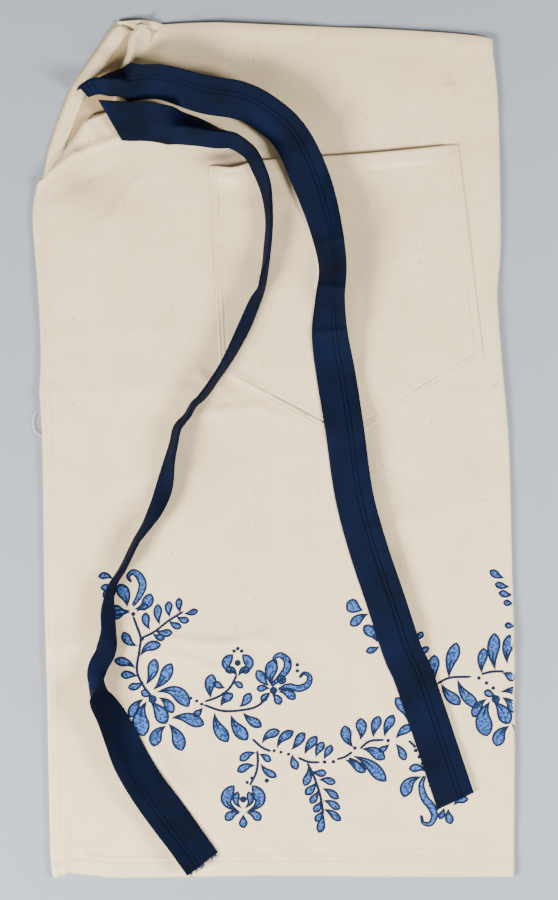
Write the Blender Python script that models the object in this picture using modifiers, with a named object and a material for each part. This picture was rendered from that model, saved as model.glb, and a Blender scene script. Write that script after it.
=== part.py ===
"""A calico bib apron folded in half down its middle and laid flat, with its two waist ties on top.

Frame: +X towards the centre fold, +Y towards the bib, +Z up, origin on the table under the middle
of the apron.  Sizes are in millimetres and are turned to metres by MM.
"""
import math

import bpy
from mathutils import Vector

MM = 0.001

# ---------------------------------------------------------------- driving dimensions, millimetres
FOLDED_WIDTH = 384.4          # side edge to centre fold, at the widest
FOLDED_LENGTH = 685.0         # bottom hem to the turned-down top edge
CLOTH = 0.8                   # thickness given to one layer of calico
LAYER_GAP = 0.3               # air between two layers that lie on each other
FOLD_STRIP = 4.0              # width of the rounded strip along the centre fold

CORNER_DROP = 129.0           # top edge down to the side corner of the front half
SLANT_RUN = 64.0              # how far the armhole slant runs inwards up to the top edge
SIDE_HEM = 9.0
BOTTOM_HEM = 16.0
CASING = 12.0                 # turned strip along the armhole slant
BIB_TURN = 230.0              # depth of the bib that is turned down inside
BIB_CLEAR_OF_CASING = 2.2     # the turned bib starts this many casing widths in from the slant
BIB_ARMHOLE_RUN = 165.0       # how far the turned bib's armhole edge runs inwards over that depth

POCKET_WIDTH = 198.0          # along the mouth
POCKET_SIDE = 167.0           # mouth down to the lower corners
POCKET_POINT = 58.0           # lower corners down to the point
POCKET_FLARE = 11.0           # how much wider the pocket is at its lower corners
POCKET_TILT = 4.8             # degrees, the mouth rises towards the centre fold
POCKET_FROM_FOLD = 45.5       # mouth corner to the centre fold
POCKET_FROM_TOP = 99.3        # mouth corner to the top edge
POCKET_HEM = 13.0 
POCKET_HEM_INSET = 4.0        # the mouth hem stops this far inside the pocket's edges
POCKET_EDGE_STITCH = 2.0      # edge to the outer row of stitches
POCKET_ROW_PITCH = 3.2        # outer row to inner row
TACK_LENGTH = 9.0             # bar tack at each end of the pocket mouth

TIE_WIDTH = 32.0
TIE_CLOTH = 1.2               # thickness of the four-layer tie tape
TIE_CLEARANCE = 0.4           # lowest edge of a tie above what it lies on
TIE_SEAM = 14.0               # length of the row that holds a tie to the armhole
TIE_SEAM_FROM_END = 7.0

THREAD = 0.5                  # diameter of a row of stitches
HEM_STITCH = 3.0              # stitches to the hem's inner edge
BACK_STITCH_SEEN = (0.16, 0.50)   # shares of the slant between which the back row is open to view
LOOP_THREAD = 0.6             # diameter of the loose thread at the side edge

# Shares of the edge's length and how far the edge lies inside the overall box there.
SIDE_EDGE = ((0.0, 14.2), (0.06, 14.0), (0.30, 10.0), (0.50, 8.2), (0.70, 5.9), (0.86, 2.4), (0.97, 0.0), (1.0, 3.0))
FOLD_EDGE = ((0.0, 0.0), (0.24, 0.2), (0.38, 2.0), (0.50, 4.0), (0.60, 9.0), (0.69, 13.6), (0.76, 11.2),
             (0.91, 12.6), (0.985, 16.0), (1.0, 24.0))
BOTTOM_EDGE = ((0.0, 0.5), (0.03, 4.8), (0.15, 0.9), (0.50, 2.4), (0.80, 1.3), (1.0, 1.6))
TOP_EDGE = ((0.0, 1.0), (0.06, 0.0), (0.12, 2.6), (0.30, 1.8), (0.45, 3.5), (0.70, 6.3), (0.85, 9.2), (1.0, 13.0))
SLANT_BULGE = 5.0             # outward bow of the back half's armhole edge
SLANT_CURVE = 1.15            # above 1 the armhole leaves the side corner more steeply
# How far the front half's armhole edge lies inside the back half's, by share of its height.
FRONT_SETBACK = ((0.0, 0.0), (0.3, 17.0), (0.5, 26.0), (0.7, 32.0), (0.9, 22.0), (1.0, 15.0))
NO_SETBACK = ((0.0, 0.0), (1.0, 0.0))
TURN_INSET = 0.6              # a turned edge lies this far inside the edge it is turned from
HEM_END_GAP = 1.0             # a turned edge stops this far from the corner of the cloth

# Ties: (x, y) from the root, lift over the surface below, lean about the tape's own length in
# degrees, and how far the tape is doubled lengthwise (0 open, 1 doubled).
UPPER_ROUTE = (
    (0.0, 0.0, 0.0, 35.0, 1.0), (9.0, 3.6, 0.8, 34.0, 0.9), (20.0, 7.0, 1.6, 34.0, 0.6),
    (44.0, 8.6, 1.6, 30.0, 0.0), (68.0, 7.6, 2.4, 34.0, 0.0), (98.0, -0.2, 4.0, 30.0, 0.0),
    (126.0, -8.0, 5.5, 26.0, 0.0), (148.0, -18.0, 5.0, 25.0, 0.0), (167.6, -36.0, 4.0, 26.0, 0.0),
    (182.0, -66.0, 3.0, 28.0, 0.0), (192.0, -102.4, 1.5, 32.0, 0.0), (197.5, -138.4, 0.8, 34.0, 0.0),
    (197.6, -165.0, 0.5, 26.0, 0.0), (198.4, -193.0, 0.6, 12.0, 0.0), (203.5, -228.0, 0.3, 5.0, 0.0),
    (209.4, -267.2, 0.0, 2.0, 0.0), (217.6, -319.0, 0.0, 2.0, 0.0), (229.2, -360.0, 0.0, 2.0, 0.0),
    (242.4, -404.0, 0.0, 2.0, 0.0), (257.0, -444.0, 0.0, 2.0, 0.0), (276.0, -500.0, 0.0, 2.0, 0.0),
    (297.5, -563.0, 0.0, 2.0, 0.0))
LOWER_ROUTE = (
    (0.0, -2.4, 0.0, 2.0, 0.08), (24.0, -4.6, 0.2, 12.0, 0.1), (54.0, -8.0, 1.2, 28.0, 0.3),
    (78.0, -11.4, 2.0, 40.0, 0.6), (99.0, -18.0, 1.5, 44.0, 0.95), (112.6, -29.0, 1.0, 50.0, 1.0),
    (119.8, -45.0, 0.6, 54.0, 1.0), (124.2, -62.0, 0.4, 60.0, 1.0), (125.0, -85.0, 0.2, 66.0, 1.0),
    (123.4, -111.4, 0.0, 78.0, 1.0), (121.2, -129.0, 0.0, 92.0, 1.0), (113.8, -145.0, 0.0, 118.0, 1.0),
    (105.4, -165.0, 0.0, 140.0, 1.0), (97.4, -183.4, 0.0, 152.0, 1.0), (84.6, -204.2, 0.0, 122.0, 1.0),
    (73.1, -220.7, 0.0, 94.0, 1.0), (62.2, -233.0, 0.0, 78.0, 1.0), (53.4, -245.8, 0.0, 66.0, 1.0),
    (47.8, -265.0, 0.0, 58.0, 1.0), (41.4, -298.6, 0.0, 34.0, 1.0), (27.8, -325.8, 0.0, 34.0, 1.0),
    (14.2, -347.4, 0.0, 62.0, 1.0), (4.6, -367.4, 0.0, 84.0, 1.0), (-2.0, -385.0, 0.0, 104.0, 1.0),
    (-4.4, -401.8, 0.0, 128.0, 1.0), (-6.8, -425.0, 0.0, 156.0, 0.95), (-12.0, -446.0, 0.0, 150.0, 0.8),
    (-8.4, -464.0, 0.0, 160.0, 0.55), (7.0, -493.8, 0.0, 172.0, 0.1), (25.4, -527.4, 0.0, 178.0, 0.0),
    (53.4, -565.8, 0.0, 178.0, 0.0), (74.2, -594.6, 0.0, 178.0, 0.0))
UPPER_ROOT = 0.59             # share of the slant's height at which the tie leaves it
UPPER_ROOT_INSET = 8.2        # in from the back half's armhole edge
LOWER_ROOT = 0.536
LOWER_ROOT_INSET = 37.7
LOWER_END_SKEW = 8.2          # the lower tie's sewn end is cut on the slant
HINGE_BACK = 6.0              # the line both ties lift about lies this far out from the upper root
HINGE_RISE = 7.5              # and this far over the front half
TAPE_STEPS = 3                # stations between two route points
SLANT_STEPS = 8

# ------------------------------------------------------------------------------- derived heights
PITCH = CLOTH + LAYER_GAP
BACK_PANEL_Z = 0.0
BACK_TURN_Z = BACK_PANEL_Z + PITCH
FRONT_TURN_Z = BACK_TURN_Z + PITCH
FRONT_PANEL_Z = FRONT_TURN_Z + PITCH
POCKET_HEM_Z = FRONT_PANEL_Z + PITCH
POCKET_Z = POCKET_HEM_Z + PITCH
PANEL_TOP = FRONT_PANEL_Z + CLOTH
POCKET_TOP = POCKET_Z + CLOTH
POCKET_THREAD_TOP = POCKET_TOP + LAYER_GAP + THREAD

HALF_W = FOLDED_WIDTH / 2
HALF_L = FOLDED_LENGTH / 2

CALICO = ("calico", (0.72, 0.66, 0.57), 0.9)
CALICO_WRONG = ("calico_wrong_side", (0.60, 0.52, 0.43), 0.92)
NAVY = ("navy_cotton", (0.012, 0.028, 0.075), 0.8)
CREAM_THREAD = ("cream_thread", (0.78, 0.73, 0.64), 0.8)
NAVY_THREAD = ("navy_thread", (0.01, 0.02, 0.05), 0.7)


# ----------------------------------------------------------------------------------- plane shapes
def lerp(a, b, share):
    return a + (b - a) * share


def table_value(table, share):
    """Straight-line reading of a ((share, value), ...) table."""
    for (s0, v0), (s1, v1) in zip(table, table[1:]):
        if share <= s1:
            return lerp(v0, v1, (share - s0) / (s1 - s0))
    return table[-1][1]


def side_corner():
    y = HALF_L - CORNER_DROP
    return (-HALF_W + SIDE_EDGE[-1][1], y)


def side_edge():
    """Left edge of both halves, bottom corner up to the side corner."""
    y_top = HALF_L - CORNER_DROP
    y_bottom = -HALF_L + BOTTOM_EDGE[0][1]
    return [(-HALF_W + inset, lerp(y_bottom, y_top, share)) for share, inset in SIDE_EDGE]


def fold_edge(inset=0.0):
    """Right edge along the centre fold, bottom up."""
    return [(HALF_W - inset - bow, lerp(-HALF_L + BOTTOM_EDGE[-1][1], HALF_L - TOP_EDGE[-1][1], share))
            for share, bow in FOLD_EDGE[:-1]]


def bottom_edge(inset=0.0, x_from=None, x_to=None):
    """Bottom edge, left to right, between two X values."""
    x0 = side_edge()[0][0] if x_from is None else x_from
    x1 = fold_edge()[0][0] if x_to is None else x_to
    return [(lerp(x0, x1, share), -HALF_L + drop + inset) for share, drop in BOTTOM_EDGE]


def slant_edge(setback=NO_SETBACK):
    """Armhole edge from the side corner up to the top edge, bowed outwards."""
    return [slant_point(i / SLANT_STEPS, 0.0, setback) for i in range(SLANT_STEPS + 1)]


def slant_point(share, inset, setback=NO_SETBACK):
    """A point on the armhole slant at a share of its height, moved inwards square to the edge."""
    x0, y0 = side_corner()
    y1 = HALF_L - TOP_EDGE[0][1]
    length = math.hypot(SLANT_RUN, y1 - y0)
    bow = SLANT_BULGE * math.sin(math.pi * share)
    x = x0 + SLANT_RUN * share ** SLANT_CURVE - bow + table_value(setback, share)
    return (x + inset * (y1 - y0) / length, lerp(y0, y1, share) - inset * SLANT_RUN / length)


def top_edge(x_from, x_to):
    return [(lerp(x_from, x_to, share), HALF_L - drop) for share, drop in TOP_EDGE]


def panel_outline(setback):
    """One half of the folded apron, up to the strip along the centre fold."""
    edge_gap = FOLD_STRIP + LAYER_GAP
    fold = fold_edge(edge_gap)
    slant = slant_edge(setback)
    points = bottom_edge(x_to=fold[0][0])
    points += fold[1:]
    points += reversed(top_edge(slant[-1][0], fold[-1][0])[1:-1])
    points += reversed(slant)
    points += reversed(side_edge()[1:-1])
    return points


def offset_line(points, width):
    """The line moved to its right by a width, seen along its direction."""
    moved = []
    for i, point in enumerate(points):
        before = points[max(i - 1, 0)]
        after = points[min(i + 1, len(points) - 1)]
        dx, dy = after[0] - before[0], after[1] - before[1]
        length = math.hypot(dx, dy)
        moved.append((point[0] + width * dy / length, point[1] - width * dx / length))
    return moved


def cut_line(points, share_from, share_to):
    """The part of a line between two shares of its length."""
    lengths = [0.0]
    for a, b in zip(points, points[1:]):
        lengths.append(lengths[-1] + math.hypot(b[0] - a[0], b[1] - a[1]))
    total = lengths[-1]

    def at(share):
        target = share * total
        for i in range(len(points) - 1):
            if target <= lengths[i + 1] + 1e-9:
                part = (target - lengths[i]) / (lengths[i + 1] - lengths[i])
                return (lerp(points[i][0], points[i + 1][0], part), lerp(points[i][1], points[i + 1][1], part))
        return points[-1]

    inner = [p for p, run in zip(points, lengths) if share_from * total + 1 < run < share_to * total - 1]
    return [at(share_from)] + inner + [at(share_to)]


def line_length(points):
    return sum(math.hypot(b[0] - a[0], b[1] - a[1]) for a, b in zip(points, points[1:]))


def trimmed(points, trim_start, trim_end):
    total = line_length(points)
    return cut_line(points, trim_start / total, 1 - trim_end / total)


def strip_outline(points, width, inset=0.0):
    outer = offset_line(points, inset) if inset else points
    return outer + list(reversed(offset_line(points, inset + width)))


def smooth_route(points, steps):
    """Catmull-Rom curve through rows of numbers."""
    rows = [Vector(p) for p in points]
    ends = [2 * rows[0] - rows[1]] + rows + [2 * rows[-1] - rows[-2]]
    result = []
    for i in range(1, len(ends) - 2):
        a, b, c, d = ends[i - 1], ends[i], ends[i + 1], ends[i + 2]
        for k in range(steps):
            t = k / steps
            result.append(0.5 * ((2 * b) + (c - a) * t + (2 * a - 5 * b + 4 * c - d) * t ** 2
                                 + (3 * b - a - 3 * c + d) * t ** 3))
    result.append(rows[-1])
    return result


# ----------------------------------------------------------------------------------- Blender side
def clear_scene():
    for item in list(bpy.data.objects):
        bpy.data.objects.remove(item, do_unlink=True)


def make_collection(name):
    collection = bpy.data.collections.new(name)
    bpy.context.scene.collection.children.link(collection)
    return collection


def material(finish):
    name, colour, roughness = finish
    found = bpy.data.materials.get(name)
    if found:
        return found
    made = bpy.data.materials.new(name)
    made.use_nodes = True
    shader = made.node_tree.nodes["Principled BSDF"]
    shader.inputs["Base Color"].default_value = (*colour, 1.0)
    shader.inputs["Roughness"].default_value = roughness
    shader.inputs["Metallic"].default_value = 0.0
    made.diffuse_color = (*colour, 1.0)
    return made


def flat_piece(name, outline, z_low, thickness, finish, collection, edge=0.0):
    """A level sheet cut to an outline."""
    curve = bpy.data.curves.new(name, "CURVE")
    curve.dimensions = "2D"
    curve.fill_mode = "BOTH"
    curve.extrude = thickness * MM / 2
    spline = curve.splines.new("POLY")
    spline.points.add(len(outline) - 1)
    for point, (x, y) in zip(spline.points, outline):
        point.co = (x * MM, y * MM, 0.0, 1.0)
    spline.use_cyclic_u = True
    piece = bpy.data.objects.new(name, curve)
    piece.location = (0.0, 0.0, (z_low + thickness / 2) * MM)
    collection.objects.link(piece)
    curve.materials.append(material(finish))
    if edge:
        weld = piece.modifiers.new("weld", "WELD")
        weld.merge_threshold = 0.00001
        bevel = piece.modifiers.new("rolled_edge", "BEVEL")
        bevel.width = edge * MM
        bevel.segments = 2
        bevel.limit_method = "ANGLE"
    return piece


def thread_row(name, points, z, diameter, finish, collection):
    """One row of stitches as a single fine bead."""
    curve = bpy.data.curves.new(name, "CURVE")
    curve.dimensions = "3D"
    curve.bevel_depth = diameter * MM / 2
    curve.bevel_resolution = 1
    curve.use_fill_caps = True
    spline = curve.splines.new("POLY")
    spline.points.add(len(points) - 1)
    for point, (x, y) in zip(spline.points, points):
        point.co = (x * MM, y * MM, z * MM, 1.0)
    row = bpy.data.objects.new(name, curve)
    collection.objects.link(row)
    curve.materials.append(material(finish))
    return row


def mesh_piece(name, vertices, faces, finish, collection):
    mesh = bpy.data.meshes.new(name)
    mesh.from_pydata([Vector(v) * MM for v in vertices], [], faces)
    mesh.update()
    mesh.materials.append(material(finish))
    piece = bpy.data.objects.new(name, mesh)
    collection.objects.link(piece)
    return piece


# -------------------------------------------------------------------------------- apron sub-parts
def make_panels(collection):
    flat_piece("panel_back_half", panel_outline(NO_SETBACK), BACK_PANEL_Z, CLOTH, CALICO_WRONG, collection)
    flat_piece("panel_front_half", panel_outline(FRONT_SETBACK), FRONT_PANEL_Z, CLOTH, CALICO, collection)
    strip = fold_edge()
    flat_piece("panel_centre_fold", strip_outline(list(reversed(strip)), FOLD_STRIP), BACK_PANEL_Z,
               PANEL_TOP, CALICO, collection, edge=CLOTH)


def make_hems(collection):
    """The turned edges of both halves, between the halves."""
    fold_x = fold_edge(FOLD_STRIP + LAYER_GAP)[0][0]
    for half, z in (("back", BACK_TURN_Z), ("front", FRONT_TURN_Z)):
        side = trimmed(side_edge(), HEM_END_GAP, 2 * HEM_END_GAP)
        flat_piece(f"side_hem_{half}", strip_outline(side, SIDE_HEM, TURN_INSET), z, CLOTH, CALICO_WRONG,
                   collection)
        x0 = side_edge()[0][0] + SIDE_HEM + TURN_INSET + HEM_END_GAP
        low = bottom_edge(x_from=x0, x_to=fold_x)
        outline = [(x, y + TURN_INSET) for x, y in low] + [(x, y + BOTTOM_HEM) for x, y in reversed(low)]
        flat_piece(f"bottom_hem_{half}", outline, z, CLOTH, CALICO_WRONG, collection)
        setback = FRONT_SETBACK if half == "front" else NO_SETBACK
        slant = trimmed(slant_edge(setback), CASING, CASING)
        flat_piece(f"armhole_casing_{half}", strip_outline(slant, CASING, TURN_INSET), z, CLOTH, CALICO,
                   collection)


def make_bib_turns(collection):
    """The bib of each half, turned down inside along the top edge."""
    fold = fold_edge(FOLD_STRIP + LAYER_GAP)
    x_fold = min(x for x, y in fold)
    for half, z, setback in (("back", BACK_TURN_Z, NO_SETBACK), ("front", FRONT_TURN_Z, FRONT_SETBACK)):
        slant = slant_edge(setback)
        y_top = HALF_L - TOP_EDGE[-1][1] - LAYER_GAP
        x_start = slant_x_at(slant, y_top) + CASING * BIB_CLEAR_OF_CASING
        y_low = y_top - BIB_TURN
        outline = [(x_start, y_top), (x_fold, y_top), (x_fold, y_low), (x_start + BIB_ARMHOLE_RUN, y_low)]
        flat_piece(f"bib_turn_{half}", outline, z, CLOTH, CALICO, collection)


def slant_x_at(slant, y):
    for (x0, y0), (x1, y1) in zip(slant, slant[1:]):
        if y0 <= y <= y1:
            return lerp(x0, x1, (y - y0) / (y1 - y0))
    return slant[-1][0]


def pocket_frame():
    """The pocket's corners, mouth left first, going round clockwise."""
    tilt = math.radians(POCKET_TILT)
    along = (math.cos(tilt), math.sin(tilt))
    down = (math.sin(tilt), -math.cos(tilt))
    right = (HALF_W - POCKET_FROM_FOLD, HALF_L - POCKET_FROM_TOP)

    def place(u, v):
        """u along the mouth from its right corner, v down from the mouth."""
        return (right[0] + along[0] * u + down[0] * v, right[1] + along[1] * u + down[1] * v)

    flare = POCKET_FLARE / 2
    return place, (place(-POCKET_WIDTH, 0), place(0, 0), place(flare, POCKET_SIDE),
                   place(-POCKET_WIDTH / 2, POCKET_SIDE + POCKET_POINT),
                   place(-POCKET_WIDTH - flare, POCKET_SIDE))


def inset_chain(chain, distance):
    """An open chain of straight runs moved to its right by a distance, with mitred corners."""
    result = [offset_line(chain[:2], distance)[0]]
    for a, b, c in zip(chain, chain[1:], chain[2:]):
        first = Vector((b[0] - a[0], b[1] - a[1])).normalized()
        second = Vector((c[0] - b[0], c[1] - b[1])).normalized()
        n0 = Vector((first.y, -first.x))
        n1 = Vector((second.y, -second.x))
        mitre = (n0 + n1) / (1 + n0.dot(n1))
        result.append((b[0] + mitre.x * distance, b[1] + mitre.y * distance))
    result.append(offset_line(chain[-2:], distance)[1])
    return result


def make_pocket(collection):
    place, corners = pocket_frame()
    flat_piece("pocket", corners, POCKET_Z, CLOTH, CALICO, collection)
    inset = POCKET_HEM_INSET
    hem = (place(-POCKET_WIDTH + inset, LAYER_GAP), place(-inset, LAYER_GAP),
           place(-inset, POCKET_HEM), place(-POCKET_WIDTH + inset, POCKET_HEM))
    flat_piece("pocket_mouth_hem", hem, POCKET_HEM_Z, CLOTH, CALICO_WRONG, collection)
    seam = [corners[1], corners[2], corners[3], corners[4], corners[0]]
    z = POCKET_TOP + LAYER_GAP + THREAD / 2
    for label, distance in (("outer", POCKET_EDGE_STITCH), ("inner", POCKET_EDGE_STITCH + POCKET_ROW_PITCH)):
        row = trimmed(inset_chain(seam, distance), TACK_LENGTH / 2, TACK_LENGTH / 2)
        thread_row(f"pocket_seam_{label}", row, z, THREAD, CREAM_THREAD, collection)
    hem_v = POCKET_HEM - HEM_STITCH
    clear = POCKET_EDGE_STITCH + POCKET_ROW_PITCH + 2 * THREAD + POCKET_FLARE / 2
    thread_row("pocket_mouth_stitch", [place(-POCKET_WIDTH + clear, hem_v), place(-clear, hem_v)], z,
               THREAD, CREAM_THREAD, collection)
    middle = POCKET_EDGE_STITCH + POCKET_ROW_PITCH / 2
    reach = POCKET_ROW_PITCH
    for label, u in (("side", -POCKET_WIDTH + middle), ("fold", -middle)):
        tack = [place(u - reach, 1.5), place(u + reach, 1.5)]
        thread_row(f"pocket_tack_{label}", tack, z, THREAD * 1.6, CREAM_THREAD, collection)


def make_hem_stitches(collection):
    z_front = PANEL_TOP + LAYER_GAP + THREAD / 2
    z_back = BACK_TURN_Z + CLOTH + LAYER_GAP + THREAD / 2
    fold_x = fold_edge(FOLD_STRIP + LAYER_GAP)[0][0]
    row_y = BOTTOM_HEM - HEM_STITCH
    x0 = side_edge()[0][0] + SIDE_HEM + 3.0
    low = [(x, y + row_y) for x, y in bottom_edge(x_from=x0, x_to=fold_x - 1.0)]
    thread_row("bottom_hem_stitch", low, z_front, THREAD, CREAM_THREAD, collection)
    side = offset_line(trimmed(side_edge(), 3.0, 4.0), SIDE_HEM - HEM_STITCH)
    thread_row("side_hem_stitch", side, z_front, THREAD, CREAM_THREAD, collection)
    front = offset_line(trimmed(slant_edge(FRONT_SETBACK), CASING, CASING), CASING - HEM_STITCH)
    thread_row("armhole_stitch_front", front, z_front, THREAD, CREAM_THREAD, collection)
    low_part = cut_line(slant_edge(), *BACK_STITCH_SEEN)
    thread_row("armhole_stitch_back", offset_line(low_part, HEM_STITCH), z_back, THREAD, CREAM_THREAD,
               collection)


def make_loose_thread(collection):
    """A loop of thread that has come out of the side hem and lies on the table."""
    x_edge = min(x for x, y in side_edge() if -HALF_L * 0.2 < y < HALF_L * 0.2) - LAYER_GAP - LOOP_THREAD
    reach = 2.6
    points = []
    for i in range(13):
        angle = math.pi * i / 12
        points.append((x_edge - reach * math.sin(angle), lerp(31.0, 12.0, i / 12)))
    thread_row("loose_thread", points, LOOP_THREAD / 2 + LAYER_GAP, LOOP_THREAD, CREAM_THREAD, collection)


# ------------------------------------------------------------------------------------------- ties
def over_pocket(x, y):
    _, corners = pocket_frame()
    margin = TIE_WIDTH
    xs = [c[0] for c in corners]
    ys = [c[1] for c in corners]
    return min(xs) - margin < x < max(xs) + margin and min(ys) - margin < y < max(ys) + margin


def tape_stations(root, route):
    """World centre, width, thickness and lean of the tape at close stations."""
    rows = []
    for dx, dy, lift, lean, doubled in route:
        x, y = root[0] + dx, root[1] + dy
        bed = POCKET_THREAD_TOP if over_pocket(x, y) else PANEL_TOP + LAYER_GAP + THREAD
        rows.append((x, y, bed + lift, math.radians(lean), doubled))
    stations = []
    for x, y, bed, lean, doubled in smooth_route(rows, TAPE_STEPS):
        share = min(max(doubled, 0.0), 1.0)
        width = TIE_WIDTH * (1 - share / 2)
        thick = TIE_CLOTH * (1 + share) + LAYER_GAP * share
        rise = abs(math.sin(lean)) * width / 2 + abs(math.cos(lean)) * thick / 2
        z = bed + TIE_CLEARANCE + rise
        stations.append((Vector((x, y, z)), width, thick, lean))
    return stations


def tape_frames(stations):
    """Along, across and out-of-face directions at each station."""
    frames = []
    for i, (centre, width, thick, lean) in enumerate(stations):
        before = stations[max(i - 1, 0)][0]
        after = stations[min(i + 1, len(stations) - 1)][0]
        along = (after - before).normalized()
        level = Vector((-along.y, along.x, 0.0)).normalized()
        up = along.cross(level)
        up = up if up.z > 0 else -up
        across = level * math.cos(lean) + up * math.sin(lean)
        out = up * math.cos(lean) - level * math.sin(lean)
        frames.append((along, across, out))
    return frames


def tape_mesh(stations, end_skew):
    """A closed four-sided loft along the tape."""
    vertices = []
    faces = []
    frames = tape_frames(stations)
    for (centre, width, thick, lean), (along, across, out) in zip(stations, frames):
        run = (centre - stations[0][0]).length
        skew = end_skew * max(0.0, 1 - run / TIE_WIDTH)
        for side, face in ((1, 1), (1, -1), (-1, -1), (-1, 1)):
            vertices.append(centre + across * (side * width / 2) + out * (face * thick / 2)
                            - along * (side * skew))
    last = len(stations) - 1
    for i in range(last):
        for k in range(4):
            a, b = 4 * i + k, 4 * i + (k + 1) % 4
            faces.append((a, b, b + 4, a + 4))
    faces.append((3, 2, 1, 0))
    faces.append((4 * last, 4 * last + 1, 4 * last + 2, 4 * last + 3))
    return vertices, faces


def slant_direction():
    """Unit direction of the armhole slant, from the side corner up to the top edge."""
    x0, y0 = side_corner()
    run = Vector((SLANT_RUN, HALF_L - TOP_EDGE[0][1] - y0, 0.0))
    return run.normalized()


def make_hinge(name, root, line_point, collection):
    """An axis point on the line both ties lift about, square across from a tie's root."""
    along = slant_direction()
    run = (Vector((root[0], root[1], 0.0)) - line_point).dot(along)
    hinge = bpy.data.objects.new(name, None)
    hinge.empty_display_type = "SINGLE_ARROW"
    hinge.empty_display_size = 0.03
    hinge.location = (line_point + along * run) * MM
    collection.objects.link(hinge)
    return hinge


def hang_on(hinge, piece):
    """Parents a piece whose points are already in place to its hinge."""
    piece.parent = hinge
    piece.location = -hinge.location


def make_tie(name, root, route, end_skew, hinge, collection):
    stations = tape_stations(root, route)
    vertices, faces = tape_mesh(stations, end_skew)
    tie = mesh_piece(name, vertices, faces, NAVY, collection)
    flip_if_inside_out(tie.data)
    hang_on(hinge, tie)
    seam = make_tie_seam(name + "_seam", stations, collection)
    hang_on(hinge, seam)


def flip_if_inside_out(mesh):
    volume = 0.0
    for polygon in mesh.polygons:
        corner = mesh.vertices[polygon.vertices[0]].co
        for i in range(1, len(polygon.vertices) - 1):
            b = mesh.vertices[polygon.vertices[i]].co
            c = mesh.vertices[polygon.vertices[i + 1]].co
            volume += corner.dot(b.cross(c))
    if volume < 0:
        mesh.flip_normals()


def make_tie_seam(name, stations, collection):
    """The row of stitches across a tie just off its sewn end, on top of the tape."""
    frames = tape_frames(stations)
    lengths = [0.0]
    for (a, *_), (b, *_) in zip(stations, stations[1:]):
        lengths.append(lengths[-1] + (b - a).length)
    index = next(i for i, run in enumerate(lengths) if run >= TIE_SEAM_FROM_END)
    centre, width, thick, lean = stations[index]
    along, across, out = frames[index]
    if out.z < 0:
        out = -out
    reach = min(TIE_SEAM, width * 0.6) / 2
    middle = centre + out * (thick / 2 + LAYER_GAP + THREAD)
    curve = bpy.data.curves.new(name, "CURVE")
    curve.dimensions = "3D"
    curve.bevel_depth = THREAD * MM / 2
    curve.bevel_resolution = 1
    curve.use_fill_caps = True
    spline = curve.splines.new("POLY")
    spline.points.add(1)
    for point, side in zip(spline.points, (-1, 1)):
        point.co = (*((middle + across * (side * reach)) * MM), 1.0)
    curve.materials.append(material(NAVY_THREAD))
    seam = bpy.data.objects.new(name, curve)
    collection.objects.link(seam)
    return seam


def make_ties(collection):
    upper_root = slant_point(UPPER_ROOT, UPPER_ROOT_INSET)
    lower_root = slant_point(LOWER_ROOT, LOWER_ROOT_INSET)
    along = slant_direction()
    outwards = Vector((-along.y, along.x, 0.0))
    line_point = Vector((*upper_root, PANEL_TOP + HINGE_RISE)) + outwards * HINGE_BACK
    upper_hinge = make_hinge("upper_tie_axis", upper_root, line_point, collection)
    lower_hinge = make_hinge("lower_tie_axis", lower_root, line_point, collection)
    make_tie("upper_tie", upper_root, UPPER_ROUTE, 0.0, upper_hinge, collection)
    make_tie("lower_tie", lower_root, LOWER_ROUTE, LOWER_END_SKEW, lower_hinge, collection)


def main():
    clear_scene()
    apron = make_collection("folded_apron")
    make_panels(apron)
    make_hems(apron)
    make_bib_turns(apron)
    make_pocket(apron)
    make_hem_stitches(apron)
    make_loose_thread(apron)
    make_ties(apron)


main()
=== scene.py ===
import math

import bmesh
import bpy
import numpy as np
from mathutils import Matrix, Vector
from mathutils.bvhtree import BVHTree


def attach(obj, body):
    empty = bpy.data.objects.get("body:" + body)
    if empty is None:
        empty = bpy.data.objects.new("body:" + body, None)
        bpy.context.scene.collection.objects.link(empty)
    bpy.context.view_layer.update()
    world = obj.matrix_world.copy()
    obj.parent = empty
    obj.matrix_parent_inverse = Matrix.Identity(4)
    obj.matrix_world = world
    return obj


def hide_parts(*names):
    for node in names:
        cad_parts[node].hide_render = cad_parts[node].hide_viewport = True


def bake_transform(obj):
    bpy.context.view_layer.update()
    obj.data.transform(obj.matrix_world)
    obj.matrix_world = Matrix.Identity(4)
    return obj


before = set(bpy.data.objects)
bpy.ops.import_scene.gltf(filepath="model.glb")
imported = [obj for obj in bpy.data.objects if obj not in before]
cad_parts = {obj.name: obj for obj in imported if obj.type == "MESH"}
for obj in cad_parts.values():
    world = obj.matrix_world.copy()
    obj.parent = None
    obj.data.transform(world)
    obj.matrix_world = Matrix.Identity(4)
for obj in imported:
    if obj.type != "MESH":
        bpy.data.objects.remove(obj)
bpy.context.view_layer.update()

# ---- Table, light and camera -----------------------------------------------------------------
# The apron lies folded on a plain pale board under two soft lamps, one at each side, and is
# looked at from straight above.
MM = 0.001


def linear(hex_colour):
    """An sRGB hex colour as the linear values that shaders read."""
    values = [int(hex_colour[i:i + 2], 16) / 255 for i in (1, 3, 5)]
    return tuple(v / 12.92 if v <= 0.04045 else ((v + 0.055) / 1.055) ** 2.4 for v in values) + (1.0,)


def add(tree, kind, settings=None, **inputs):
    """Adds a node; its inputs are values or other nodes' output sockets."""
    node = tree.nodes.new(kind)
    for key, value in (settings or {}).items():
        setattr(node, key, value)
    for key, value in inputs.items():
        by_number = key[0] == "i" and key[1:].isdigit()
        socket = node.inputs[int(key[1:]) if by_number else key.replace("_", " ")]
        if isinstance(value, bpy.types.NodeSocket):
            tree.links.new(value, socket)
        else:
            socket.default_value = value
    return node


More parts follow.
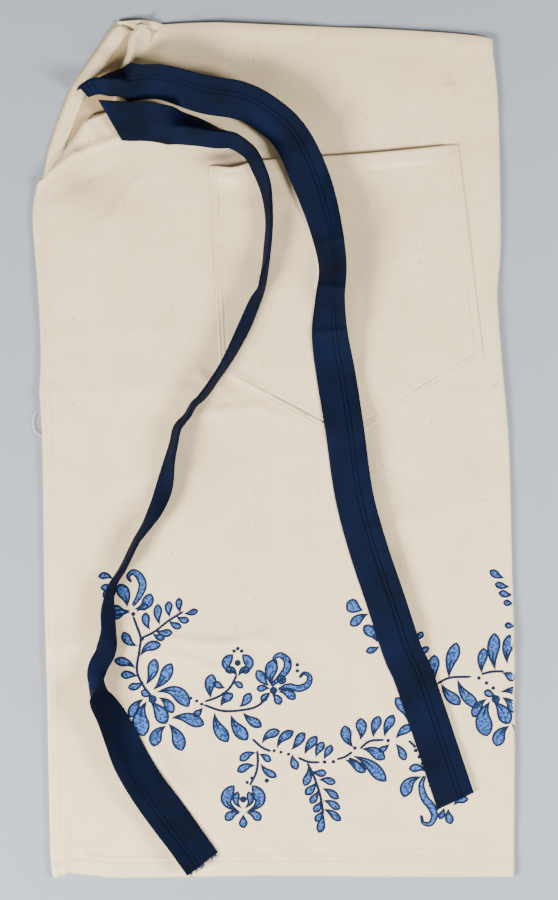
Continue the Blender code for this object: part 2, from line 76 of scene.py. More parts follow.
def new_material(name):
    """An empty material with its shader and output."""
    made = bpy.data.materials.new(name)
    made.use_nodes = True
    tree = made.node_tree
    tree.nodes.clear()
    shader = add(tree, "ShaderNodeBsdfPrincipled")
    out = add(tree, "ShaderNodeOutputMaterial")
    tree.links.new(shader.outputs["BSDF"], out.inputs["Surface"])
    return made, tree, shader


FLOOR_HALF = 3000.0
CAMERA_HEIGHT = 2.0
VIEW_LENGTH = 0.720
LAMP_REACH = 1.15
LAMP_HEIGHT = 0.9

table_mesh = bpy.data.meshes.new("pale_board")
table_mesh.from_pydata([(x * FLOOR_HALF * MM, y * FLOOR_HALF * MM, 0.0) for x,
                        y in ((-1, -1), (1, -1), (1, 1), (-1, 1))],
                       [], [(0, 1, 2, 3)])
table = bpy.data.objects.new("pale_board", table_mesh)
bpy.context.scene.collection.objects.link(table)
board_paint, tree, shader = new_material("matt_painted_board")
shader.inputs["Base Color"].default_value = linear("#8E949B")
shader.inputs["Roughness"].default_value = 0.85
table_mesh.materials.append(board_paint)

world = bpy.data.worlds.new("soft_room")
bpy.context.scene.world = world
world.use_nodes = True
world.node_tree.nodes["Background"].inputs["Color"].default_value = linear("#F3F4F6")
world.node_tree.nodes["Background"].inputs["Strength"].default_value = 0.30
for label, side, along, power in (("left", -1, -0.80, 88.0), ("right", 1, -0.30, 46.0)):
    lamp_data = bpy.data.lights.new(f"soft_lamp_{label}", "AREA")
    lamp_data.shape = "RECTANGLE"
    lamp_data.size = 0.36
    lamp_data.size_y = 0.6
    lamp_data.energy = power
    lamp = bpy.data.objects.new(f"soft_lamp_{label}", lamp_data)
    lamp.location = (side * LAMP_REACH, along, LAMP_HEIGHT)
    lamp.rotation_euler = (Vector((0, -0.08, 0)) - lamp.location).to_track_quat("-Z", "Y").to_euler()
    bpy.context.scene.collection.objects.link(lamp)

camera_data = bpy.data.cameras.new("view_from_above")
camera_data.sensor_fit = "VERTICAL"
camera_data.sensor_height = 36.0
camera_data.lens = 36.0 * CAMERA_HEIGHT / VIEW_LENGTH
camera = bpy.data.objects.new("view_from_above", camera_data)
camera.location = (0.0044, 0.0, CAMERA_HEIGHT)
bpy.context.scene.collection.objects.link(camera)
bpy.context.scene.camera = camera

# ---- The folded cloth ------------------------------------------------------------------------
# One piece of unbleached calico, cut as a bib apron, folded in half down its middle with the
# right side out, the bib turned down inside along the top. It is woven, washed and ironed, and it
# keeps the creases of its storage folds.
LEFT_EDGE = ((-342, -174.8), (-330, -177.4), (-300, -178.6), (-180, -181.0), (-114, -183.0), (0, -184.4),
             (40, -186.2), (48, -186.8), (80, -185.8), (130, -188.0), (180, -192.0), (198, -191.6),
             (213.6, -188.4))
FRONT_SLANT = ((219, -183.6), (236, -170.5), (252, -158.6), (262, -152.0), (266.5, -146.5), (269.0, -138.0),
               (271.5, -132.5), (285, -127.5), (302, -124.0), (318, -117.0), (330, -115.2), (337.6, -110.5))
BACK_SLANT = ((219, -184.2), (238.4, -180.4), (254, -175.6), (268.8, -170.2), (288.8, -161.7),
              (298.4, -155.9), (318, -142.4), (333, -131.6), (339, -126.5), (341.6, -121.0))
RIGHT_EDGE = ((-341, 192.0), (-180, 192.4), (-85, 190.3), (1.6, 188.2), (44, 185.4), (52, 184.6),
              (81, 182.2), (128, 178.7), (150, 179.6), (180, 181.2), (279, 179.6), (318, 176.8),
              (327, 175.4), (341, 174.5))
BOTTOM_EDGE = ((-176, -342.2), (-170, -340.0), (-163.6, -337.8), (-140, -340.0), (-118.8, -341.6),
               (5, -340.0), (101, -341.0), (192, -340.8))
FRONT_TOP = ((-112, 337.6), (-106.8, 338.4), (-89, 339.4), (-62, 340.8), (-37, 340.8), (5, 339.0),
             (83, 336.0), (127, 333.4), (148.4, 331.8), (165, 329.8), (176, 327.0))
BACK_TOP = ((-122, 341.8), (-104.4, 343.0), (-96, 342.2), (-88, 339.4), (-62, 339.0), (-37, 339.0),
            (5, 337.2), (83, 334.2), (127, 331.6), (148.4, 330.0), (165, 328.0), (176, 325.4))
BOTTOM_HEM = 16.0
SIDE_HEM = 8.0
HEM_STITCH = 3.0              # stitches to the hem's inner edge
CLOTH = 0.5                   # real thickness of the calico
SIDE_CORNER_Y = 214           # where the side edge ends and the slanted armhole edge starts
HEM_RISE = 0.55               # the turned hems stand this much over the single cloth
PUCKER = 0.26                 # small waves that the hem stitches draw up
CREASE_GAIN = 2.6             # the heights in the crease table times this
FRONT_Z = 3.6                 # height of the front half's middle, over the back half and the bib between
BACK_Z = 0.45
FOLD_RADIUS = 2.2
BIB_TURN = 230.0


def smooth_table(rows, steps=12):
    """A smooth reading of (position, value) rows: a Catmull-Rom curve, sampled closely."""
    pts = np.array(rows, float)
    pts = np.vstack([2 * pts[0] - pts[1], pts, 2 * pts[-1] - pts[-2]])
    out = []
    for i in range(1, len(pts) - 2):
        a, b, c, d = pts[i - 1:i + 3]
        for k in range(steps):
            t = k / steps
            square, cube = 2 * a - 5 * b + 4 * c - d, 3 * b - a - 3 * c + d
            out.append(0.5 * (2 * b + (c - a) * t + square * t ** 2 + cube * t ** 3))
    out.append(pts[-2])
    out = np.array(out)
    return lambda s: np.interp(s, out[:, 0], out[:, 1])


front_left = smooth_table(LEFT_EDGE + FRONT_SLANT)
back_left = smooth_table(LEFT_EDGE + BACK_SLANT)
right_edge = smooth_table(RIGHT_EDGE)
bottom_edge = smooth_table(BOTTOM_EDGE)
front_top = smooth_table(FRONT_TOP)
back_top = smooth_table(BACK_TOP)

# Creases and folds of the front half: from, to, half width, height, and how one-sided it is.
CREASES = (
    ((-166, -300), (-167, -338), 1.8, 0.4, 0.3), ((-150, -320), (-147, -337), 1.5, 0.3, 0.5),
    ((-178, -318), (-152, -319), 1.8, 0.35, 0.0), ((-174, -338), (-166, -334), 3.0, 0.5, 0.0),
    ((90, -70), (80, 10), 6.0, 0.25, 0.0), ((-82, -151), (-40, -156), 3.2, 0.8, 0.4),
    ((-46, -155), (-7, -149), 3.0, 0.8, -0.4), ((-10, -150), (4, -160), 3.0, 0.5, 0.0),
    ((-80, -164), (-48, -174), 3.6, 0.55, 0.0), ((-100, -160), (-70, -166), 4.5, 0.4, 0.0),
    ((84, -196), (84.5, -209), 1.8, 0.55, 0.0), ((-15, -305), (5, -324), 2.6, 0.6, 0.3),
    ((139, 247), (141, 290), 2.4, 0.8, 0.3), ((141, 290), (149, 324), 2.2, 0.7, 0.3),
    ((118, 250), (128, 330), 7.0, 0.35, 0.0), ((-188, 213), (-158, 236), 3.2, 1.3, 0.2),
    ((-158, 236), (-123, 249), 3.0, 1.1, 0.2), ((-176, 205), (-128, 226), 7.0, -0.5, 0.0),
    ((-108, 217), (-133, 182), 3.6, 0.8, 0.0), ((-72, 240), (-72.5, 200), 1.2, 0.28, 0.0),
    ((-150, 262), (-140, 246), 4.0, 0.5, 0.0), ((-60, 60), (-30, 40), 4.0, 0.7, 0.3),
    ((-12, 36), (-56, 30), 3.2, 0.9, 0.5), ((-10, 34), (24, 22), 5.0, 0.4, 0.0),
    ((-178, 90), (-90, 96), 9.0, 0.35, 0.0), ((-60, -230), (60, -240), 11.0, 0.3, 0.0),
    ((100, -60), (170, -40), 12.0, 0.35, 0.0), ((-170, -60), (-120, -20), 9.0, 0.3, 0.0),
    ((60, -300), (170, -318), 6.0, 0.35, 0.0))
# Storage creases, which stand as a sharp ridge with a slope at each side: from, to, reach, height.
RIDGES = (((-190, 47), (-52, 48), 13.0, 1.5), ((150, 46), (190, 47), 10.0, 1.2),
          ((-190, -158), (-60, -155), 15.0, 1.7), ((-60, -155), (70, -152), 12.0, 0.9),
          ((96, -150), (190, -156), 14.0, 0.9), ((83, -190), (84, -215), 5.0, 0.8))
# Broad swells and hollows: centre, reach along X and Y, height.
SWELLS = ((-120, 120, 60, 70, 0.7), (60, 290, 90, 26, 1.0), (-10, -60, 70, 90, 0.6),
          (120, -120, 60, 100, 0.5), (-130, -250, 50, 60, 0.6), (-100, 225, 40, 22, 0.8),
          (160, 200, 24, 90, 0.5), (-150, 20, 30, 30, -0.4), (30, -250, 60, 40, -0.3),
          (-40, 310, 50, 20, 0.8), (90, -300, 60, 24, 0.4))
RIPPLES = ((0.031, 0.012, 0.4, 0.3), (-0.014, 0.026, 1.9, 0.28), (0.052, -0.033, 3.1, 0.16),
           (0.019, 0.061, 5.2, 0.15), (0.083, 0.021, 0.9, 0.08), (-0.041, 0.094, 2.2, 0.07),
           (0.12, -0.07, 4.4, 0.045), (0.02, 0.15, 1.2, 0.04))


def ease(value):
    value = np.clip(value, 0.0, 1.0)
    return value * value * (3 - 2 * value)


def along_segment(x, y, start, end):
    """Distance to a segment with its sign, and how far past the ends a point lies."""
    sx, sy = start
    dx, dy = end[0] - sx, end[1] - sy
    length = math.hypot(dx, dy)
    ux, uy = dx / length, dy / length
    run = (x - sx) * ux + (y - sy) * uy
    past = np.maximum(0.0, np.maximum(-run, run - length))
    return (x - sx) * -uy + (y - sy) * ux, past


def crease_height(x, y, creases):
    total = np.zeros_like(x)
    for start, end, width, height, skew in creases:
        side, past = along_segment(x, y, start, end)
        distance = np.sqrt(side ** 2 + past ** 2)
        lean = 1 + skew * np.tanh(side / width)
        total += CREASE_GAIN * height * lean / (1 + (distance / width) ** 2) ** 1.5
    return total


def stitch_groove(distance):
    return -0.5 * np.exp(-(distance / 0.9) ** 2)


def front_height(x, y):
    """Height of the front half's upper side over the table."""
    x = np.asarray(x, float)
    y = np.asarray(y, float)
    z = np.full(np.broadcast(x, y).shape, FRONT_Z)
    z = z + crease_height(x, y, CREASES)
    for cx, cy, rx, ry, height in SWELLS:
        z = z + height * np.exp(-((x - cx) / rx) ** 2 - ((y - cy) / ry) ** 2)
    for start, end, reach, height in RIDGES:
        side, past = along_segment(x, y, start, end)
        z = z + height * np.exp(-np.sqrt(side ** 2 + 0.3) / reach - (past / 12) ** 2)
    for fx, fy, phase, size in RIPPLES:
        z = z + size * np.sin(fx * x * 2 + fy * y * 2 + phase)
    from_bottom = y - bottom_edge(x)
    from_side = x - front_left(y)
    hem = np.maximum(ease((BOTTOM_HEM + 0.8 - from_bottom) / 1.6),
                     ease((SIDE_HEM + 0.8 - from_side) / 1.6) * (y < SIDE_CORNER_Y))
    puckers = PUCKER * np.sin(x * 0.9 + 0.7 * np.sin(x * 0.21)) * ease((BOTTOM_HEM + 4 - from_bottom) / 6)
    z = z + HEM_RISE * hem + puckers
    z = z + stitch_groove(from_bottom - BOTTOM_HEM + HEM_STITCH)
    z = z + stitch_groove(from_side - SIDE_HEM + HEM_STITCH) * (y < 212)
    z = z - 0.9 * ease(1 - from_bottom / 7.0) - 0.8 * ease(1 - from_side / 7.0)
    # the slanted armhole edge is turned in and stands in a soft roll
    on_slant = ease((y - SIDE_CORNER_Y) / 14)
    roll = np.exp(-((from_side - 5.0) / 5.5) ** 2)
    z = z + on_slant * (1.1 * roll + 0.6 * ease(1 - from_side / 14))
    corner = ease((y - 300) / 14)
    peak = 5.2 * np.exp(-((from_side - 5.0) / 4.0) ** 2)
    hollow = 1.5 * np.exp(-((from_side - 17) / 8.0) ** 2)
    z = z + corner * (peak - hollow)
    from_top = front_top(x) - y
    z = z + 0.5 * np.exp(-((from_top - 5) / 5) ** 2) - 0.5 * ease(1 - from_top / 4)
    from_fold = right_edge(y) - x
    z = z + 0.9 * np.exp(-((from_fold - 7) / 8.0) ** 2)
    return z


def back_height(x, y):
    """Height of the middle of the back half's cloth; it lies on the table."""
    z = np.full(np.broadcast(x, y).shape, BACK_Z)
    from_slant = x - back_left(y)
    lift = ease((y - 216) / 20)
    z = z + lift * (0.9 * np.exp(-((from_slant - 10) / 9) ** 2) + 0.25 * np.sin(y * 0.11 + 0.6))
    corner = ease((y - 318) / 14) * np.exp(-((x + 112) / 20) ** 2)
    return z + 1.6 * corner


FOLD_COLUMNS = 8
BACK_COLUMNS = 40
# Shares of the width and length where the mesh has its lines, closer at the hem stitches.
FRONT_SHARES = np.sort(np.append(np.linspace(0, 1, 119), np.array((4.1, 5.0, 5.9, 7.3, 8.8)) / 374))
ROW_SHARES = np.sort(np.append(np.linspace(0, 1, 220), np.array((12.1, 13.0, 13.9, 15.2, 16.8)) / 681))
TOP_ROWS = 5
BIB_ROWS = 12
BIB_ARMHOLE_RUN = 165.0


def half_grid(u, v, left, top, height, fold_gap):
    """Points of one half: u from side edge to fold, v from hem to top edge."""
    y_guide = -341 + v * 681
    x = left(y_guide) + u * (right_edge(y_guide) - fold_gap - left(y_guide))
    y = bottom_edge(x) + v * (top(x) - bottom_edge(x))
    return x, y, height(x, y)


def fold_height(z_front, z_back, angle, x_edge):
    """Round the centre fold, from the front layer down to the back layer."""
    middle = (z_front + z_back) / 2
    radius = (z_front - z_back) / 2
    return x_edge + FOLD_RADIUS * np.sin(angle), middle + radius * np.cos(angle)


def cloth_rows(v):
    """One row across the whole cloth: front half, centre fold, back half."""
    fx, fy, fz = half_grid(FRONT_SHARES, v, front_left, front_top, front_height, FOLD_RADIUS)
    ub = np.linspace(1, 0, BACK_COLUMNS + 1)
    bx, by, bz = half_grid(ub, v, back_left, back_top, back_height, FOLD_RADIUS)
    fz = fz - CLOTH / 2
    angle = np.linspace(0, math.pi, FOLD_COLUMNS + 2)[1:-1]
    wx, wz = fold_height(fz[-1], bz[0], angle, fx[-1])
    wy = np.interp(angle, (0, math.pi), (fy[-1], by[0]))
    return np.concatenate([fx, wx, bx]), np.concatenate([fy, wy, by]), np.concatenate([fz, wz, bz])


def build_cloth():
    rows = [np.stack(cloth_rows(v), 1) for v in ROW_SHARES]
    last = rows[-1]
    n_front = len(FRONT_SHARES)
    inward = np.ones(len(last))
    inward[:n_front] = -1.0
    angles = np.linspace(0, math.pi, FOLD_COLUMNS + 2)[1:-1]
    inward[n_front:n_front + FOLD_COLUMNS] = -np.cos(angles)
    sideways = np.zeros(len(last))
    sideways[n_front:n_front + FOLD_COLUMNS] = -np.sin(angles)
    turn = 0.5
    for k in range(1, TOP_ROWS + 1):
        a = math.pi * k / TOP_ROWS
        row = last.copy()
        row[:, 1] += turn * math.sin(a)
        row[:, 2] += inward * turn * (1 - math.cos(a))
        row[:, 0] += sideways * turn * (1 - math.cos(a))
        rows.append(row)
    top = rows[-1]
    for k in range(1, BIB_ROWS + 1):
        depth = BIB_TURN * (k / BIB_ROWS) ** 1.6
        row = top.copy()
        row[:, 1] -= depth
        x_fold = right_edge(row[:, 1]) - FOLD_RADIUS
        x_left = np.minimum(top[:, 0], x_fold)
        share = np.clip((top[:, 0] + 122) / (174 + 122), 0, 1)
        start = top[:, 0] + (1 - share) * depth * BIB_ARMHOLE_RUN / BIB_TURN
        row[:, 0] = start + share * (right_edge(row[:, 1]) - right_edge(top[:, 1]))
        row[:n_front, 2] = FRONT_Z - 1.0 - 0.25 * (k > 1)
        raised = np.maximum(top[n_front + FOLD_COLUMNS:, 2] - BACK_Z - 1.0, 0)
        row[n_front + FOLD_COLUMNS:, 2] = BACK_Z + 1.0 + raised * math.exp(-depth / 10)
        row[n_front:n_front + FOLD_COLUMNS, 2] = top[n_front:n_front + FOLD_COLUMNS, 2]
        rows.append(row)
    return np.stack(rows)


def mesh_object(name, points, faces, materials=(), outward=False):
    """A smooth-shaded mesh object in metres; outward turns a closed form's faces to the outside."""
    mesh = bpy.data.meshes.new(name)
    mesh.from_pydata(points, [], faces)
    for item in materials:
        mesh.materials.append(item)
    mesh.polygons.foreach_set("use_smooth", [True] * len(mesh.polygons))
    mesh.update()
    if outward:
        fixed = bmesh.new()
        fixed.from_mesh(mesh)
        bmesh.ops.recalc_face_normals(fixed, faces=fixed.faces)
        fixed.to_mesh(mesh)
        fixed.free()
    made = bpy.data.objects.new(name, mesh)
    bpy.context.scene.collection.objects.link(made)
    return made


def grid_object(name, grid, material_list, flip=False):
    """A mesh object over a grid of points in millimetres."""
    n_rows, n_cols = grid.shape[:2]
    index = np.arange(n_rows * n_cols).reshape(n_rows, n_cols)
    quads = np.stack([index[:-1, :-1], index[:-1, 1:], index[1:, 1:], index[1:, :-1]], -1).reshape(-1, 4)
    if flip:
        quads = quads[:, ::-1]
    return mesh_object(name, (grid.reshape(-1, 3) * MM).tolist(), quads.tolist(), material_list)


def thicken(piece, thickness, offset=0.0, inner_slot=0):
    """Gives a sheet its cloth's thickness and leaves a plain closed mesh."""
    solid = piece.modifiers.new("cloth_thickness", "SOLIDIFY")
    solid.thickness = thickness * MM
    solid.offset = offset
    solid.use_even_offset = False
    solid.material_offset = inner_slot
    bake_modifiers(piece)


def bake_modifiers(piece):
    graph = bpy.context.evaluated_depsgraph_get()
    baked = bpy.data.meshes.new_from_object(piece.evaluated_get(graph))
    piece.modifiers.clear()
    old = piece.data
    piece.data = baked
    bpy.data.meshes.remove(old)


def object_coordinates(tree):
    """Object coordinates in millimetres."""
    coordinates = add(tree, "ShaderNodeTexCoord")
    return add(tree, "ShaderNodeVectorMath", {"operation": "SCALE"}, i0=coordinates.outputs["Object"],
               Scale=1000.0).outputs[0]


def calico(name, base, deep, fleck, weave_height):
    """Unbleached plain-weave cotton: uneven threads, slubs and dark seed flecks on a dry matt face.

    Its threads lie about 0.4 mm apart, too fine to show, so the weave is drawn at 0.9 mm.
    """
    made, tree, shader = new_material(name)
    point = object_coordinates(tree)
    thread = 0.9
    slub_x = add(tree, "ShaderNodeMapping", i0=point, Scale=(1 / 26.0, 1 / 1.3, 1.0))
    slub_y = add(tree, "ShaderNodeMapping", i0=point, Scale=(1 / 1.3, 1 / 26.0, 1.0))
    weft = add(tree, "ShaderNodeTexNoise", {"noise_dimensions": "2D"}, Vector=slub_x.outputs[0], Scale=1.0,
               Detail=2.0)
    warp = add(tree, "ShaderNodeTexNoise", {"noise_dimensions": "2D"}, Vector=slub_y.outputs[0], Scale=1.0,
               Detail=2.0)
    threads = add(tree, "ShaderNodeMath", {"operation": "ADD"}, i0=weft.outputs[0], i1=warp.outputs[0])
    patches = add(tree, "ShaderNodeTexNoise", Vector=point, Scale=1 / 34.0, Detail=4.0)
    mottle = add(tree, "ShaderNodeMapRange", i0=patches.outputs[0], i1=0.3, i2=0.7, i3=0.0, i4=1.0)
    thread_tone = add(tree, "ShaderNodeMapRange", i0=threads.outputs[0], i1=0.75, i2=1.25, i3=0.0, i4=1.0)
    both = add(tree, "ShaderNodeMath", {"operation": "MULTIPLY_ADD"}, i0=mottle.outputs[0], i1=0.45, i2=0.0)
    both = add(tree, "ShaderNodeMath", {"operation": "MULTIPLY_ADD"}, i0=thread_tone.outputs[0], i1=0.5,
               i2=both.outputs[0])
    cloth_tone = add(tree, "ShaderNodeMix", {"data_type": "RGBA"}, i0=both.outputs[0], i6=linear(deep),
                     i7=linear(base))
    cells = add(tree, "ShaderNodeTexVoronoi", Vector=point, Scale=1 / 13.0, Randomness=1.0)
    pick = add(tree, "ShaderNodeSeparateColor", i0=cells.outputs["Color"])
    speck = add(tree, "ShaderNodeMath", {"operation": "LESS_THAN"}, i0=cells.outputs["Distance"], i1=0.05)
    chosen = add(tree, "ShaderNodeMath", {"operation": "GREATER_THAN"}, i0=pick.outputs[0], i1=0.62)
    fleck_on = add(tree, "ShaderNodeMath", {"operation": "MULTIPLY"}, i0=speck.outputs[0],
                   i1=chosen.outputs[0])
    fleck_on = add(tree, "ShaderNodeMath", {"operation": "MULTIPLY"}, i0=fleck_on.outputs[0], i1=0.75)
    colour = add(tree, "ShaderNodeMix", {"data_type": "RGBA"}, i0=fleck_on.outputs[0],
                 i6=cloth_tone.outputs[2], i7=linear(fleck))
    # painted shade: the colour is mixed towards a dark brown by the per-point shade amount written on the
    # cloth
    painted_shade = add(tree, "ShaderNodeAttribute", {"attribute_name": "painted_shade"})
    shaded_colour = add(tree, "ShaderNodeMix", {"data_type": "RGBA"}, i0=painted_shade.outputs["Fac"],
                i6=colour.outputs[2], i7=linear("#503C26"))
    tree.links.new(shaded_colour.outputs[2], shader.inputs["Base Color"])
    bands = []
    for direction in ("X", "Y"):
        wave = add(tree, "ShaderNodeTexWave", {"bands_direction": direction}, Vector=point,
                   Scale=0.314 / thread, Distortion=0.6)
        wave.inputs["Detail Scale"].default_value = 2.0
        bands.append(wave.outputs["Fac"])
    weave = add(tree, "ShaderNodeMath", {"operation": "ADD"}, i0=bands[0], i1=bands[1])
    relief = add(tree, "ShaderNodeMath", {"operation": "MULTIPLY_ADD"}, i0=threads.outputs[0], i1=1.6,
                 i2=weave.outputs[0])
    bump = add(tree, "ShaderNodeBump", Height=relief.outputs[0], Strength=0.22, Distance=weave_height * MM)
    tree.links.new(bump.outputs[0], shader.inputs["Normal"])
    shader.inputs["Roughness"].default_value = 0.92
    shader.inputs["Specular IOR Level"].default_value = 0.25
    shader.inputs["Sheen Weight"].default_value = 0.08
    return made


calico_right = calico("unbleached_calico", "#E8D2A8", "#DBC297", "#5E4830", 0.14)
# Painted shade: a darker, browner copy of the calico for the wrong side, which lies in shade where it shows
# at the back half's upper corner.
calico_shaded_wrong_side = calico("unbleached_calico_wrong_side_painted_shade", "#C3A67C", "#AF9169", "#5E4830", 0.14)

# Painted shade for tie shadows, hollows, the pocket mouth and some edges: centre, reach along X and Y, turn,
# amount.
PAINTED_SHADE_PATCHES = ((-28, 301, 46, 13, -24, 0.22), (10, 294, 40, 11, -38, 0.12), (-40, 234, 19, 6, 5, 0.85),
         (-44, 140, 9, 70, 2, 0.10), (-126, 286, 14, 22, -30, 0.22), (-146, 206, 42, 15, -15, 0.24),
         (-163, 232, 18, 8, 40, 0.12), (-30, 96, 18, 46, -32, 0.13), (-58, -20, 18, 36, -30, 0.08),
         (98, -92, 8, 30, 20, 0.2), (-121, -62, 9, 32, -32, 0.2), (-82, -250, 7, 28, 34, 0.2),
         (70, 168, 6, 40, 5, 0.1), (184, 180, 6, 90, 0, 0.10), (-40, 40, 26, 9, -38, 0.14),
         (-112, 300, 12, 30, -20, 0.14), (60, 236, 80, 3, 5, 0.10), (-186, -20, 5, 260, 0, 0.10),
         (-160, 215, 22, 10, 20, 0.10), (0, -342, 190, 4, 0, 0.08))


def paint_shade(piece):
    """Writes how much painted shade each point of a cloth piece gets."""
    places = np.array([v.co for v in piece.data.vertices]) / MM
    total = np.zeros(len(places))
    for cx, cy, rx, ry, turn, amount in PAINTED_SHADE_PATCHES:
        a = math.radians(turn)
        along = (places[:, 0] - cx) * math.cos(a) + (places[:, 1] - cy) * math.sin(a)
        over = (places[:, 1] - cy) * math.cos(a) - (places[:, 0] - cx) * math.sin(a)
        total += amount * np.exp(-(along / rx) ** 2 - (over / ry) ** 2)
    layer = piece.data.attributes.new("painted_shade", "FLOAT", "POINT")
    layer.data.foreach_set("value", np.minimum(total, 0.85).astype(np.float32))


apron_cloth = grid_object("apron_cloth", build_cloth(), [calico_right, calico_shaded_wrong_side], flip=False)
# the inner faces take the darker wrong-side copy, painted shade
thicken(apron_cloth, CLOTH, 0.0, 1)
# painted shade patches on the cloth
paint_shade(apron_cloth)
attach(apron_cloth, "apron")
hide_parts("panel_front_half", "panel_back_half", "panel_centre_fold", "bib_turn_front",
            "bib_turn_back")

# ---- Turned hems and armhole casings ---------------------------------------------------------
# Narrow turned-in layers of the same calico: 16 mm at the bottom, 8 mm at the side, and the
# slanted armhole edges turned in 12 mm, which keeps those edges thicker than the cloth.
CASING = 12.0
HEM_CLOTH = 0.45
LAYER_AIR = 0.05
SLANT_INWARD = np.array((0.894, -0.447))


def turned_strip(name, outer, inner, height, node):
    """A flat turned-in layer between two edge lines."""
    share = np.linspace(0, 1, 5)[:, None, None]
    flat = outer[None] * (1 - share) + inner[None] * share
    grid = np.concatenate([flat, height(flat[..., 0], flat[..., 1])[..., None]], -1)
    strip = grid_object(name, grid, [calico_right], flip=True)
    thicken(strip, HEM_CLOTH)
    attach(strip, "apron")
    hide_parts(node)
    return strip


def under_front(x, y):
    return front_height(x, y) - CLOTH - LAYER_AIR - HEM_CLOTH / 2


def over_back(x, y):
    return back_height(x, y) + CLOTH / 2 + LAYER_AIR + HEM_CLOTH / 2


along_side = np.linspace(-322, 212, 179)
along_bottom = np.linspace(-172, 187, 121)
casing_end = {"front": 333, "back": 341}
for half, left, cover in (("front", front_left, under_front), ("back", back_left, over_back)):
    side_line = np.stack([left(along_side) + 0.7, along_side], 1)
    turned_strip(f"side_hem_turn_{half}", side_line, side_line + (SIDE_HEM, 0), cover,
                             f"side_hem_{half}")
    bottom_line = np.stack([along_bottom, bottom_edge(along_bottom) + 0.7], 1)
    turned_strip(f"bottom_hem_turn_{half}", bottom_line, bottom_line + (0, BOTTOM_HEM), cover,
                             f"bottom_hem_{half}")
    along_slant = np.linspace(218, casing_end[half], 48)
    slant_line = np.stack([left(along_slant) + 0.8, along_slant], 1)
    turned_strip(f"armhole_turn_{half}", slant_line, slant_line + SLANT_INWARD * CASING, cover,
                             f"armhole_casing_{half}")

# ---- Patch pocket ----------------------------------------------------------------------------
# A five-sided patch of the same calico with its point downwards. Its edges are turned under, and
# two rows of topstitching hold it. Its mouth is hemmed and stands a little open at the armhole side.
POCKET_CORNERS = ((-50.8, 226.4), (146.8, 243.2), (166.8, 76.0), (58.0, 7.2), (-42.0, 60.0))
POCKET_TURN = 6.0
MOUTH_HEM = 13.0
POCKET_SEAMS = (2.0, 5.2)
POCKET_CREASES = (
    ((-36, 62), (-8, 45), 4.0, 0.7, 0.4), ((-8, 66), (-22, 46), 3.0, 0.6, 0.0),
    ((150, 90), (140, 220), 5.0, 0.35, 0.0), ((-20, 190), (20, 205), 8.0, 0.4, 0.0),
    ((60, 40), (64, 120), 8.0, 0.35, 0.0), ((90, 215), (120, 160), 8.0, 0.35, 0.0))
POCKET_COLUMNS = 62
POCKET_ROWS = 58
SIDE_LINES = (0.0, 0.7, 1.3, 2.0, 2.7, 3.6, 4.5, 5.2, 5.9, 7.5)      # mm in from a side
MOUTH_LINES = (0.0, 1.5, 3.0, 5.0, 7.0, 9.2, 10.0, 10.8, 12.5)       # mm down from the mouth
POINT_LINES = (8.5, 7.0, 6.2, 5.4, 4.4, 3.3, 2.4, 1.6, 0.8, 0.0)     # mm up from the lower edge


def pocket_point(u, v):
    """Place on the table of a point of the patch, u across from the left and v down from the mouth."""
    (ax, ay), (bx, by), (cx, cy), (dx, dy), (ex, ey) = POCKET_CORNERS
    tip = 0.478
    low_x = np.interp(u, (0, tip, 1), (ex, dx, cx))
    low_y = np.interp(u, (0, tip, 1), (ey, dy, cy))
    sag = 3.4 * np.sin(np.pi * np.clip(u / 0.19, 0, 1)) ** 2 * (1 - v) ** 6
    top_x = ax + (bx - ax) * u
    top_y = ay + (by - ay) * u
    bow = 0.7 * np.sin(np.pi * u * 2.2) * (1 - v)
    return top_x + (low_x - top_x) * v, top_y + (low_y - top_y) * v - sag + bow


def pocket_edge_distance(x, y):
    """Distance inwards from the sides and point, and from the mouth."""
    corners = POCKET_CORNERS
    sewn = np.full(np.shape(x), 1e3)
    for i, j in ((1, 2), (2, 3), (3, 4), (4, 0)):
        side, _ = along_segment(x, y, corners[i], corners[j])
        sewn = np.minimum(sewn, -side)
    mouth, _ = along_segment(x, y, corners[0], corners[1])
    return sewn, -mouth


def pocket_height(x, y):
    """Height of the upper face of the patch."""
    sewn, mouth = pocket_edge_distance(x, y)
    z = front_height(x, y) + 0.6
    z = z + 0.55 * ease(1 - np.abs(sewn - 1.0) / 8.0) + 0.14 * ease((MOUTH_HEM - mouth) / 3) * ease(sewn / 4)
    for seam in POCKET_SEAMS:
        z = z - 0.45 * np.exp(-((sewn - seam) / 0.7) ** 2)
    z = z - 0.22 * np.exp(-((mouth - 10.0) / 0.8) ** 2) * ease(1 - (x + 50) / 150)
    belly = ease(sewn / 45) * (0.7 + 0.5 * ease(1 - mouth / 70))
    z = z + belly
    gape = np.exp(-((x + 33) / 12) ** 2) * ease(1 - mouth / 22)
    z = z + 3.0 * gape + 1.6 * ease(1 - mouth / 34) * ease(sewn / 12)
    z = z + crease_height(x, y, POCKET_CREASES)
    return z


